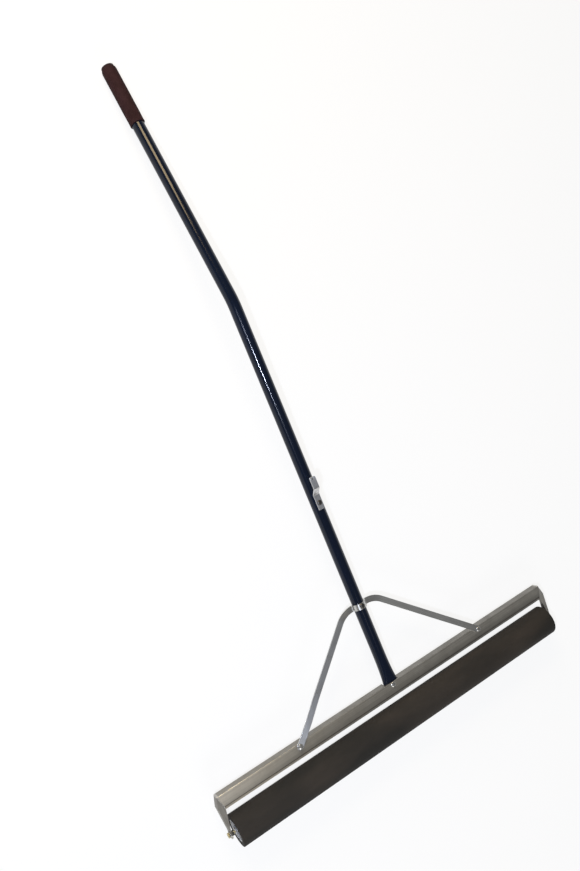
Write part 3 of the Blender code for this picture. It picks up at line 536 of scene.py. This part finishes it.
# The notch's two cheeks and its front are closed one by one, each with a flat face.
for axis, plane in ((0, -NOTCH_HALF), (0, NOTCH_HALF), (2, notch_front)):
    corners = [v for v in rail.verts if v.is_boundary and abs(v.co[axis] - plane) < NEAR]
    bmesh.ops.contextual_create(rail, geom=corners)
bmesh.ops.recalc_face_normals(rail, faces=rail.faces)
rail_piece = piece("rail", rail, "frame", mill, TOOL, RAIL_EASE)
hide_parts("frame_rail")

# End arms: the same angle, cut to a tapered front lip and to a round foot that takes the axle.
# Each is bent a little, so that its shoulder stands out past its foot.
ARM_INNER = 467.6 * MM    # inner face of the arm's foot
SHOULDER = 66.5 * MM
SHOULDER_OUT = 473.6 * MM
LIP_FOOT = 10.0 * MM      # height where the lip runs out
ARM_SPARE = 4.0 * MM      # length past the rail's top, which the mitre takes off
ARM_FOOT_SIDES = 48
ARM_EASE = 0.4 * MM
ARM_MARKS = 22.0 * MM


def reach(height):
    """Outer face of an arm at a height above the axle."""
    if height > SHOULDER:
        return SHOULDER_OUT + (RAIL_HALF - SHOULDER_OUT) * (height - SHOULDER) / (
            RAIL_TOP - SHOULDER)
    share = max(height - LIP_FOOT, 0) / (SHOULDER - LIP_FOOT)
    return ARM_INNER + WALL + (SHOULDER_OUT - ARM_INNER - WALL) * share


# Mill-finish aluminium with its die lines down the arm, and painted shade on the faces turned
# towards the grip and on those turned sideways.
drawn = metal("mill_finish_aluminium_arm", "#D2CEC6", "#A9A59D",
              (1 / DIE_LINES, 1 / DIE_RUN, 1 / DIE_LINES), ARM_MARKS, 0.38, ALONG_HANDLE,
              dusty_and_shaded=0.5, sides=0.55)

for side, hand in (("left", -1), ("right", 1)):
    arm = bmesh.new()
    foot = bmesh.ops.create_circle(arm, cap_ends=True, segments=ARM_FOOT_SIDES,
                                   radius=FRONT)["verts"]
    bmesh.ops.rotate(arm, verts=foot, cent=(0, 0, 0), matrix=Matrix.Rotation(math.pi / 2, 3, "Y"))
    for vert in foot:
        if vert.co.y > NEAR:
            vert.co = Vector((0, RAIL_TOP + ARM_SPARE, math.copysign(FRONT, vert.co.z)))
    bmesh.ops.remove_doubles(arm, verts=arm.verts, dist=10 * NEAR)
    for level in (0.0, LIP_FOOT, RAIL_BOTTOM, SHOULDER):
        slice_through(arm, (0, level, 0), (0, 1, 0))
    for vert in arm.verts:
        vert.co.x = reach(vert.co.y)
    front_edges = [e for e in arm.edges
                   if all(v.co.z > FRONT - NEAR and v.co.y > LIP_FOOT - NEAR for v in e.verts)]
    lip = bmesh.ops.extrude_edge_only(arm, edges=front_edges)["geom"]
    for vert in only(bmesh.types.BMVert, lip):
        share = (vert.co.y - LIP_FOOT) / (RAIL_BOTTOM - LIP_FOOT)
        vert.co.x = ARM_INNER + (LIP_IN - ARM_INNER) * share
    bmesh.ops.remove_doubles(arm, verts=arm.verts, dist=10 * NEAR)
    bmesh.ops.recalc_face_normals(arm, faces=arm.faces)
    if sum(f.normal.x for f in arm.faces) < 0:
        bmesh.ops.reverse_faces(arm, faces=arm.faces)
    bmesh.ops.solidify(arm, geom=arm.faces[:], thickness=WALL)
    bmesh.ops.recalc_face_normals(arm, faces=arm.faces)
    if hand < 0:
        bmesh.ops.scale(arm, vec=(-1, 1, 1), verts=arm.verts)
        bmesh.ops.reverse_faces(arm, faces=arm.faces)
    mitre(arm, hand, -1)
    bmesh.ops.recalc_face_normals(arm, faces=arm.faces)
    arm_piece = piece(f"arm_{side}", arm, "frame", drawn, TOOL, ARM_EASE)
    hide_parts(f"end_arm_{side}")

# Welds: one bead over the outer corner of each mitre, laid in ripples from front to back. They
# are aluminium of the frame's own kind.
BEAD_RADIUS = 2.8 * MM
BEAD_SET_IN = 1.5 * MM    # how far the bead's middle lies inside both outer faces
BEAD_RIPPLE = 1.5 * MM
BEAD_SWELL = 0.07         # how much a ripple adds to the radius
BEAD_BOW = 0.3 * MM
BEAD_SHORT = 0.2 * MM     # how far the bead stops inside the frame's faces
BEAD_TAPER = 0.1          # share of its length over which each end tapers
BEAD_TIP = 0.25           # size at the very end
BEAD_SIDES = 14
BEAD_STEPS = 44
BEAD_SPECKLE = 2.0 * MM
BEAD_MARKS = 4.0 * MM


def pull(shape, edges, vec):
    """Extend an open tube by its end ring, and return the new ring."""
    grown = bmesh.ops.extrude_edge_only(shape, edges=edges)["geom"]
    bmesh.ops.translate(shape, vec=vec, verts=only(bmesh.types.BMVert, grown))
    return only(bmesh.types.BMEdge, grown)


# Weld metal: brighter and smoother than the frame where it has flowed.
flowed = metal("weld_bead_aluminium", "#C4C1BC", "#8E8B86", (1 / BEAD_SPECKLE,) * 3, BEAD_MARKS,
               0.3)

for side, hand in (("left", -1), ("right", 1)):
    bead = bmesh.new()
    bmesh.ops.create_circle(bead, cap_ends=False, segments=BEAD_SIDES, radius=1.0)
    edges = bead.edges[:]
    for i in range(BEAD_STEPS):
        edges = pull(bead, edges, (0, 0, 1 / BEAD_STEPS))
    bmesh.ops.holes_fill(bead, edges=[e for e in bead.edges if e.is_boundary])
    for vert in bead.verts:
        share = vert.co.z
        angle = math.atan2(vert.co.x, vert.co.y)
        along = (2 * share - 1) * (FRONT - BEAD_SHORT)
        lift = math.sin(math.pi / 2 * min(min(share, 1 - share) / BEAD_TAPER, 1.0))
        ripple = 1 + BEAD_SWELL * math.cos(math.tau * (2 * share - 1) * FRONT / BEAD_RIPPLE)
        size = BEAD_RADIUS * max(lift, BEAD_TIP) * ripple
        vert.co = (hand * (RAIL_HALF - BEAD_SET_IN + size * math.cos(angle)),
                   RAIL_TOP - BEAD_SET_IN + size * math.sin(angle),
                   along + BEAD_BOW * math.sin(2 * angle))
    bead.normal_update()
    bmesh.ops.recalc_face_normals(bead, faces=bead.faces)
    piece(f"weld_{side}", bead, "frame", flowed, TOOL, sharp=60.0)

# Handle: round steel tube, pressed to a flat-sided oval at its foot, where the rail's bolt goes
# through, and bent once on a tube bender. It is powder-coated before the fittings go on.
TUBE_RADIUS = 14.3 * MM
TUBE_WALL = 1.5 * MM
TUBE_SIDES = 64
END_RING = 1.0 * MM       # a ring this far from each end keeps the long faces' shading even
FOOT_START = 63.5 * MM
FLAT_END = 92.0 * MM
ROUND_START = 190.0 * MM
FLAT_STEPS = 24
FLAT_FADE = 3.5           # power of the curve by which the flatness fades towards the round tube
FLAT_HALF = FRONT - WALL - 0.3 * MM
BEND_AT = 1019.0 * MM
BEND = math.radians(14.1)
BEND_RADIUS = 153.5 * MM
BEND_STEPS = 12
UPPER = 603.47 * MM       # from the bend's corner to the end of the grip
TUBE_SHORT = 5.3 * MM     # how far inside the grip's end the tube stops
COAT_DRIFT = 220.0 * MM
COAT_PEEL = 6.0 * MM
SCUFF_LENGTH = 45.45 * MM
SCUFF_WIDTH = 6.667 * MM

# Gloss powder coat: a very dark navy, almost black, with clear reflections, a trace of orange
# peel and a few dull scuffs along it.
coat, tree, shader = finish("gloss_powder_coat")
place = add(tree, "TexCoord").outputs["Object"]
drift = add(tree, "TexNoise", {"Vector": place, "Scale": 1 / COAT_DRIFT, "Detail": 2.0})
tone = add(tree, "Mix", {0: drift.outputs[0], 6: linear("#040A16"), 7: linear("#091427")},
           data_type="RGBA")
scuff_space = add(tree, "Mapping", {"Vector": place,
                                    "Scale": (1 / SCUFF_WIDTH, 1 / SCUFF_LENGTH, 1 / SCUFF_WIDTH)})
scuffs = add(tree, "TexNoise", {"Vector": scuff_space.outputs[0], "Scale": 1.0, "Detail": 6.0,
                                "Roughness": 0.7})
rubbed = add(tree, "MapRange", {"Value": scuffs.outputs[0], "From Min": 0.62, "From Max": 0.78,
                                "To Max": 0.35})
tone = add(tree, "Mix", {0: rubbed.outputs[0], 6: tone.outputs[2], 7: linear("#232A36")},
           data_type="RGBA")
tree.links.new(tone.outputs[2], shader.inputs["Base Color"])
peel = add(tree, "TexNoise", {"Vector": place, "Scale": 1 / COAT_PEEL, "Detail": 1.0})
bump = add(tree, "Bump", {"Height": peel.outputs[0], "Strength": 0.008, "Distance": 0.04 * MM})
tree.links.new(bump.outputs[0], shader.inputs["Normal"])
gloss = add(tree, "MapRange", {"Value": scuffs.outputs[0], "To Min": 0.12, "To Max": 0.18})
tree.links.new(gloss.outputs[0], shader.inputs["Roughness"])
shader.inputs["IOR"].default_value = 1.5
shader.inputs["Specular IOR Level"].default_value = 0.3

tube = bmesh.new()
ring = bmesh.ops.create_circle(tube, cap_ends=False, segments=TUBE_SIDES,
                               radius=TUBE_RADIUS)["verts"]
bmesh.ops.rotate(tube, verts=ring, cent=(0, 0, 0), matrix=Matrix.Rotation(-math.pi / 2, 3, "X"))
bmesh.ops.translate(tube, verts=ring, vec=(0, FOOT_START, 0))
edges = pull(tube, tube.edges[:], (0, END_RING, 0))
edges = pull(tube, edges, (0, FLAT_END - FOOT_START - END_RING, 0))
for i in range(FLAT_STEPS):
    edges = pull(tube, edges, (0, (ROUND_START - FLAT_END) / FLAT_STEPS, 0))
tangent = BEND_RADIUS * math.tan(BEND / 2)
edges = pull(tube, edges, (0, BEND_AT - tangent - ROUND_START, 0))
bent = bmesh.ops.spin(tube, geom=edges, cent=(0, BEND_AT - tangent, -BEND_RADIUS),
                      axis=(-1, 0, 0), angle=BEND, steps=BEND_STEPS)["geom_last"]
upward = Vector((0, math.cos(BEND), -math.sin(BEND)))
edges = pull(tube, only(bmesh.types.BMEdge, bent),
             upward * (UPPER - TUBE_SHORT - END_RING - tangent))
pull(tube, edges, upward * END_RING)
for vert in tube.verts:
    if vert.co.y < ROUND_START - NEAR:
        share = min(1.0, (ROUND_START - vert.co.y) / (ROUND_START - FLAT_END))
        flatness = share ** FLAT_FADE
        radius = TUBE_RADIUS + (FLAT_HALF - TUBE_RADIUS) * flatness
        straight = math.pi * (TUBE_RADIUS - FLAT_HALF) / 2 * flatness
        vert.co.x = vert.co.x * radius / TUBE_RADIUS + math.copysign(straight, vert.co.x)
        vert.co.z = vert.co.z * radius / TUBE_RADIUS
bmesh.ops.recalc_face_normals(tube, faces=tube.faces)
bmesh.ops.solidify(tube, geom=tube.faces[:], thickness=TUBE_WALL)
bmesh.ops.recalc_face_normals(tube, faces=tube.faces)
handle = piece("tube", tube, "frame", coat, TOOL)
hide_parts("handle_tube")

# Grip: soft vinyl, dipped and cured on a former and pushed over the tube. Its closed end is
# round, and its open end has a thin rolled edge with a shallow neck behind it.
GRIP_RADIUS = 17.3 * MM
GRIP_BORE = 14.6 * MM
GRIP_LENGTH = 154.0 * MM
GRIP_CAP = 5.0 * MM       # thickness of the closed end
GRIP_SIDES = 64
DOME_STEPS = 12
ROLL = 0.9 * MM           # radius of the rolled edge
ROLL_PROUD = 0.4 * MM
ROLL_EASE = 0.6 * MM
ROLL_WIDTH = 2.4 * MM
NECK_START = 4.0 * MM
NECK_MIDDLE = 12.0 * MM
NECK_END = 30.0 * MM
NECK_START_DEPTH = 0.35 * MM
NECK_MIDDLE_DEPTH = 0.3 * MM
GRIP_DUST = 18.0 * MM
GRIP_PORES = 1.8 * MM     # pores are finer than this, and are widened so that they show

# Dipped vinyl: brown-black with a satin skin, paler where dust has settled in its pores.
vinyl, tree, shader = finish("dipped_vinyl")
place = add(tree, "TexCoord").outputs["Object"]
dust_and_shade = add(tree, "TexNoise", {"Vector": place, "Scale": 1 / GRIP_DUST, "Detail": 5.0})
dusty_and_shaded = add(tree, "MapRange", {"Value": dust_and_shade.outputs[0], "From Min": 0.4, "From Max": 0.75,
                               "To Max": 0.7})
tone = add(tree, "Mix", {0: dusty_and_shaded.outputs[0], 6: linear("#291718"), 7: linear("#382426")},
           data_type="RGBA")
tree.links.new(tone.outputs[2], shader.inputs["Base Color"])
pores = add(tree, "TexNoise", {"Vector": place, "Scale": 1 / GRIP_PORES, "Detail": 2.0})
bump = add(tree, "Bump", {"Height": pores.outputs[0], "Strength": 0.25, "Distance": 0.15 * MM})
tree.links.new(bump.outputs[0], shader.inputs["Normal"])
satin = add(tree, "MapRange", {"Value": dust_and_shade.outputs[0], "To Min": 0.65, "To Max": 0.85})
tree.links.new(satin.outputs[0], shader.inputs["Roughness"])
shader.inputs["IOR"].default_value = 1.53
shader.inputs["Specular IOR Level"].default_value = 0.08

dome = GRIP_LENGTH - GRIP_RADIUS
profile = [(GRIP_LENGTH - GRIP_CAP, 0), (GRIP_LENGTH - GRIP_CAP, GRIP_BORE), (0, GRIP_BORE),
           (-ROLL_PROUD, GRIP_BORE + ROLL), (0, GRIP_RADIUS - ROLL_EASE), (ROLL, GRIP_RADIUS),
           (ROLL_WIDTH, GRIP_RADIUS), (NECK_START, GRIP_RADIUS - NECK_START_DEPTH),
           (NECK_MIDDLE, GRIP_RADIUS - NECK_MIDDLE_DEPTH), (NECK_END, GRIP_RADIUS),
           (dome, GRIP_RADIUS)]
profile += [(dome + GRIP_RADIUS * math.sin(a), GRIP_RADIUS * math.cos(a))
            for a in quarter(DOME_STEPS)[1:-1]]
profile.append((GRIP_LENGTH, 0))
along_upper = Matrix.Translation((0, BEND_AT, 0)) @ Matrix.Rotation(-BEND, 4, "X")
from_x = Matrix.Rotation(math.pi / 2, 4, "Z")
grip = piece("grip_sleeve", turn(profile, GRIP_SIDES, closed=False), "frame",
             vinyl, TOOL @ along_upper @ Matrix.Translation((0, UPPER - GRIP_LENGTH, 0)) @ from_x)
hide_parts("grip")

# Bow brace: half-hard aluminium flat bar, saddled over the tube, swept edgewise and run down
# to the rail on both sides. Each leg dips a little behind the rail's plane on its way.
BAR_HALF = 7.15 * MM
BAR_THICK = 3.2 * MM
SADDLE_RADIUS = TUBE_RADIUS + 0.3 * MM
BRACE_AT = 286.1 * MM
FOOT_FILLET = 4.0 * MM
SWEEP = 56.0 * MM
BOLT_X = 260.0 * MM
BOLT_Y = 83.7 * MM
LEG_Z = FRONT + 0.3 * MM + BAR_THICK / 2
DIP = 5.3 * MM
DIP_RUN = 105.0 * MM      # from the bolt back to where the leg has dipped
FLAT_RUN = 52.0 * MM      # from the bolt back to where it leaves the rail's plane
SADDLE_TOP = math.radians(8)              # half of the saddle's first facet
SADDLE_STEPS = 12
FILLET_STEPS = 6
SWEEP_STEPS = 14
LEG_END_STEPS = 8
LEG_END_TIP = 0.02        # share of the bar's width left at the tip of its round end
BAR_MARKS = 26.0 * MM
BAR_EASE = 0.45 * MM


def draw_out(shape, face, matrix):
    """Extrude an end face and move the new one."""
    grown = bmesh.ops.extrude_face_region(shape, geom=[face])["geom"]
    new = only(bmesh.types.BMFace, grown)[0]
    bmesh.ops.transform(shape, matrix=matrix, verts=new.verts)
    if face.is_valid:
        bmesh.ops.delete(shape, geom=[face], context="FACES_ONLY")
    return new


def swing(shape, face, centre, axis, angle, steps):
    """Extrude an end face round a bend."""
    turn_step = (Matrix.Translation(centre) @ Matrix.Rotation(angle / steps, 4, Vector(axis))
                 @ Matrix.Translation(-Vector(centre)))
    for _ in range(steps):
        face = draw_out(shape, face, turn_step)
    return face


# Rolled aluminium bar: brighter than the angle, with its rolling lines round each bend.
bar = metal("rolled_aluminium_bar", "#CCCCCA", "#A9A8A5",
            (1 / DIE_RUN, 1 / DIE_LINES, 1 / DIE_LINES), BAR_MARKS, 0.27, "bar", wear=0.4)

middle = SADDLE_RADIUS + BAR_THICK / 2
low = math.asin(FOOT_FILLET / (middle + FOOT_FILLET))
foot_x = (middle + FOOT_FILLET) * math.cos(low)
centre = Vector((foot_x, BRACE_AT - SWEEP))
to_bolt = Vector((BOLT_X, BOLT_Y)) - centre
sweep_angle = math.asin(SWEEP / to_bolt.length) - math.atan2(to_bolt.y, to_bolt.x)
brace = bmesh.new()
start = brace.faces.new([brace.verts.new((0, y, z)) for y, z in (
    (BRACE_AT - BAR_HALF, SADDLE_RADIUS), (BRACE_AT + BAR_HALF, SADDLE_RADIUS),
    (BRACE_AT + BAR_HALF, SADDLE_RADIUS + BAR_THICK),
    (BRACE_AT - BAR_HALF, SADDLE_RADIUS + BAR_THICK))])
face = draw_out(brace, start, Matrix.Rotation(SADDLE_TOP, 4, "Y"))
face = swing(brace, face, (0, BRACE_AT, 0), (0, 1, 0), math.pi / 2 - low - SADDLE_TOP,
             SADDLE_STEPS)
face = swing(brace, face, (foot_x, BRACE_AT, FOOT_FILLET), (0, -1, 0), math.pi / 2 - low,
             FILLET_STEPS)
face = swing(brace, face, (centre.x, centre.y, 0), (0, 0, -1), sweep_angle, SWEEP_STEPS)
along = Vector((math.cos(sweep_angle), -math.sin(sweep_angle), 0))
here = Vector(face.calc_center_median())
bolt = Vector((BOLT_X, BOLT_Y, LEG_Z))
for stop in (bolt - along * DIP_RUN - Vector((0, 0, DIP)), bolt - along * FLAT_RUN, bolt):
    face = draw_out(brace, face, Matrix.Translation(stop - here))
    here = stop
to_leg = Matrix.Rotation(sweep_angle, 4, "Z")
end_angles = quarter(LEG_END_STEPS)
for near, far in zip(end_angles, end_angles[1:]):
    squeeze = max(math.cos(far), LEG_END_TIP) / math.cos(near)
    step = Matrix.Translation(along * BAR_HALF * (math.sin(far) - math.sin(near)))
    narrow = (Matrix.Translation(here) @ to_leg.inverted() @ Matrix.Diagonal((1, squeeze, 1, 1))
              @ to_leg @ Matrix.Translation(-here))
    face = draw_out(brace, face, step @ narrow)
    here = Vector(face.calc_center_median())
bmesh.ops.delete(brace, geom=[f for f in brace.faces if all(abs(v.co.x) < NEAR for v in f.verts)],
                 context="FACES_ONLY")
bmesh.ops.mirror(brace, geom=brace.verts[:] + brace.edges[:] + brace.faces[:], axis="X",
                 merge_dist=NEAR)
bmesh.ops.remove_doubles(brace, verts=brace.verts, dist=NEAR)
bmesh.ops.recalc_face_normals(brace, faces=brace.faces)
place_layer = brace.verts.layers.float_vector.new("bar_place")
grain_layer = brace.verts.layers.float_vector.new("bar_grain")
for vert in brace.verts:
    side = -1 if vert.co.x < 0 else 1
    out = Vector((abs(vert.co.x), vert.co.y)) - centre
    angle = 0.0 if out.x < 0 else min(math.atan2(out.x, out.y), sweep_angle)
    lay = Vector((math.cos(angle), -math.sin(angle)))
    off = Vector((math.sin(angle), math.cos(angle)))
    run = foot_x + SWEEP * angle + (out - off * SWEEP).dot(lay)
    vert[place_layer] = (side * run, out.dot(off) - SWEEP, vert.co.z)
    vert[grain_layer] = TOOL.to_3x3() @ Vector((side * lay.x, lay.y, 0))
brace_piece = piece("brace", brace, "frame", bar, TOOL, BAR_EASE, sharp=40.0)
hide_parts("bow_brace")

# Hanger hook: a short length of the same bar, set away from the tube by a double bend, with
# its free end towards the grip, a small eye in that end, and one screw through its foot.
HOOK_START = 526.0 * MM
HOOK_FOOT = 36.0 * MM
HOOK_RISE = 14.5 * MM
HOOK_TIP = 28.0 * MM
STANDOFF = 15.6 * MM
HOOK_BEND = 2.4 * MM      # inner radius of both bends
HOOK_BEND_STEPS = 6
HOOK_CORNER = 4.0 * MM
HOOK_CORNER_STEPS = 5
HOOK_EYE = 2.0 * MM
HOOK_EYE_SIDES = 24
HOOK_EYE_INSET = 5.0 * MM
HOOK_EASE = 0.35 * MM
HOOK_MARKS = 14.0 * MM

low_z = TUBE_RADIUS + 0.3 * MM
slope = math.atan2(STANDOFF, HOOK_RISE)
mid_radius = HOOK_BEND + BAR_THICK / 2
tangent = mid_radius * math.tan(slope / 2)
first = HOOK_FOOT - tangent
straight = math.hypot(STANDOFF, HOOK_RISE) - 2 * tangent
second = first + mid_radius * slope + straight
flat_length = second + mid_radius * slope + HOOK_TIP - tangent


def bend_up(vert):
    """Carry a point of the flat strip along the hook's double bend."""
    run, lift = vert.co.y, vert.co.z - BAR_THICK / 2
    if run < first:
        at, angle = Vector((run, 0)), 0.0
    elif run < first + mid_radius * slope:
        angle = (run - first) / mid_radius
        at = Vector((first + mid_radius * math.sin(angle), mid_radius * (1 - math.cos(angle))))
    else:
        rise = Vector((math.cos(slope), math.sin(slope)))
        angle = slope
        at = Vector((first + mid_radius * math.sin(slope), mid_radius * (1 - math.cos(slope))))
        at += rise * min(run - first - mid_radius * slope, straight)
        if run > second:
            angle = max(slope - (run - second) / mid_radius, 0.0)
            at += mid_radius * Vector((math.sin(slope) - math.sin(angle),
                                       math.cos(angle) - math.cos(slope)))
            at.x += max(run - second - mid_radius * slope, 0.0)
    vert.co.y = HOOK_START + at.x - math.sin(angle) * lift
    vert.co.z = low_z + BAR_THICK / 2 + at.y + math.cos(angle) * lift


hook = bmesh.new()
corners = [(-BAR_HALF, 0), (BAR_HALF, 0), (BAR_HALF, flat_length), (-BAR_HALF, flat_length)]
strip = [hook.verts.new((x, y, 0)) for x, y in corners]
for i in range(4):
    hook.edges.new((strip[i], strip[(i + 1) % 4]))
bmesh.ops.create_circle(hook, segments=HOOK_EYE_SIDES, radius=HOOK_EYE,
                        matrix=Matrix.Translation((0, flat_length - HOOK_EYE_INSET, 0)))
bmesh.ops.bevel(hook, geom=strip[2:], offset=HOOK_CORNER, segments=HOOK_CORNER_STEPS,
                profile=0.5, affect="VERTICES", material=-1)
bmesh.ops.triangle_fill(hook, use_beauty=True, use_dissolve=False, edges=hook.edges[:])
grown = bmesh.ops.extrude_face_region(hook, geom=hook.faces[:])["geom"]
bmesh.ops.translate(hook, vec=(0, 0, BAR_THICK), verts=only(bmesh.types.BMVert, grown))
for start in (first, second):
    for i in range(HOOK_BEND_STEPS + 1):
        along = start + mid_radius * slope * i / HOOK_BEND_STEPS
        slice_through(hook, (0, along, 0), (0, 1, 0))
for vert in hook.verts:
    bend_up(vert)
bmesh.ops.remove_doubles(hook, verts=hook.verts, dist=NEAR)
bmesh.ops.recalc_face_normals(hook, faces=hook.faces)

# The same rolled bar, with its lines along the handle and duller marks.
bar_down = metal("rolled_aluminium_hook", "#DADADA", "#A09E9A",
                 (1 / DIE_LINES, 1 / DIE_RUN, 1 / DIE_LINES), HOOK_MARKS, 0.34, ALONG_HANDLE)
hook_piece = piece("hook", hook, "frame", bar_down, TOOL, HOOK_EASE, sharp=40.0)
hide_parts("hanger_hook")

# Fasteners: cold-headed, zinc-plated steel. Those through the rail, collar, brace and hook have
# low domed heads. The roller turns on two hex bolts, clamped in the arms by their nuts.
HANDLE_BOLT = (3.17 * MM, 6.6 * MM, 3.2 * MM, 27.2 * MM)   # shank, head, head's height, length
COLLAR_BOLT = (2.5 * MM, 6.2 * MM, 2.8 * MM, 40.0 * MM)
BRACE_BOLT = (2.5 * MM, 6.2 * MM, 2.8 * MM, 13.0 * MM)
HOOK_SCREW = (2.5 * MM, 6.0 * MM, 2.8 * MM, 13.0 * MM)
HOOK_SCREW_AT = 541.8 * MM
HEAD_LIFT = 0.1 * MM      # keeps a head's underside off what it bears on
HEAD_SIDES = 40
HEAD_STEPS = 7
HEAD_RIM = 0.2            # share of a domed head's height that stands straight
HEAD_EDGE = 0.3 * MM
SHANK_TIP = 0.8           # size of a shank at its tip
AXLE_SEAT = 472.1 * MM    # underside of a hex head, from the middle of the tool
AXLE_HEX = 11.1 * MM      # across flats
AXLE_HEAD = 4.0 * MM
AXLE_SHANK = 3.17 * MM
AXLE_LENGTH = 35.5 * MM
AXLE_SIDES = 32
SHANK_IN_HEAD = 0.5 * MM
AXLE_EASE = 0.7 * MM
PLATE_SPECKLE = 3.333 * MM
PLATE_MARKS = 5.0 * MM


def domed(radius, head_radius, head, length):
    """A screw along -X whose low round head has its underside at x = 0."""
    points = [(-length, 0), (-length, radius * SHANK_TIP), (0, radius),
              (0, head_radius - HEAD_EDGE), (HEAD_EDGE, head_radius),
              (head * HEAD_RIM, head_radius)]
    points += [(head * (HEAD_RIM + (1 - HEAD_RIM) * math.sin(a)), head_radius * math.cos(a))
               for a in quarter(HEAD_STEPS)[1:-1]]
    points.append((head, 0))
    return turn(points, HEAD_SIDES, closed=False)


# Zinc plate: bright where it is new, and straw-coloured where it is the yellow kind. A dark grey
# copy of the bright plate paints shade on the axle nuts between the arms and the plugs, and on
# the heads of the collar bolt and the hook screw.
speckle = (1 / PLATE_SPECKLE,) * 3
zinc = metal("bright_zinc_plate", "#BDBCB8", "#807E78", speckle, PLATE_MARKS, 0.3)
yellow = metal("yellow_zinc_plate", "#CBBE94", "#6F654D", speckle, PLATE_MARKS, 0.3)
dark = metal("shaded_zinc_plate", "#5C5A57", "#45433F", speckle, PLATE_MARKS, 0.35)
for node in ("brace_left_nut", "brace_right_nut", "collar_nut", "collar_washer", "handle_nut",
             "handle_washer", "axle_washer_left", "axle_washer_right"):
    frame["nodes"][node].material_slots[0].material = zinc
# Painted shade: the axle nuts, between the arms and the plugs, take the dark grey copy.
for node in ("axle_nut_left", "axle_nut_right"):
    frame["nodes"][node].material_slots[0].material = dark

up_front = Matrix.Rotation(-math.pi / 2, 4, "Y")
leg_front = LEG_Z + BAR_THICK / 2
# The collar bolt and hook screw take the dark grey copy, which paints shade on their heads.
for node, spot, sizes, plate in (
        ("handle_bolt", (0, BOLT_Y, FRONT), HANDLE_BOLT, zinc),
        ("collar_bolt", (0, BRACE_AT, SADDLE_RADIUS + BAR_THICK), COLLAR_BOLT, dark),
        ("brace_left_bolt", (-BOLT_X, BOLT_Y, leg_front), BRACE_BOLT, zinc),
        ("brace_right_bolt", (BOLT_X, BOLT_Y, leg_front), BRACE_BOLT, zinc),
        ("hook_screw", (0, HOOK_SCREW_AT, low_z + BAR_THICK), HOOK_SCREW, dark)):
    at = Vector(spot) + Vector((0, 0, HEAD_LIFT))
    screw = piece(f"{node}_head", domed(*sizes), "frame", plate,
                  TOOL @ Matrix.Translation(at) @ up_front)
    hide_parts(node)

for side, hand in (("left", -1), ("right", 1)):
    shape = bmesh.new()
    to_corner = AXLE_HEX / 2 / math.cos(math.pi / 6)
    bmesh.ops.create_cone(shape, cap_ends=True, segments=6, radius1=to_corner,
                          radius2=to_corner, depth=AXLE_HEAD,
                          matrix=Matrix.Translation((0, 0, AXLE_HEAD / 2)))
    bmesh.ops.create_cone(shape, cap_ends=True, segments=AXLE_SIDES, radius1=AXLE_SHANK,
                          radius2=AXLE_SHANK, depth=AXLE_LENGTH + SHANK_IN_HEAD,
                          matrix=Matrix.Translation((0, 0, (SHANK_IN_HEAD - AXLE_LENGTH) / 2)))
    head = piece(f"axle_bolt_{side}_head", shape, "frame", yellow,
                 TOOL @ Matrix.Translation((hand * AXLE_SEAT, 0, 0))
                 @ Matrix.Rotation(hand * math.pi / 2, 4, "Y"), AXLE_EASE)
    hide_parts(f"axle_bolt_{side}")
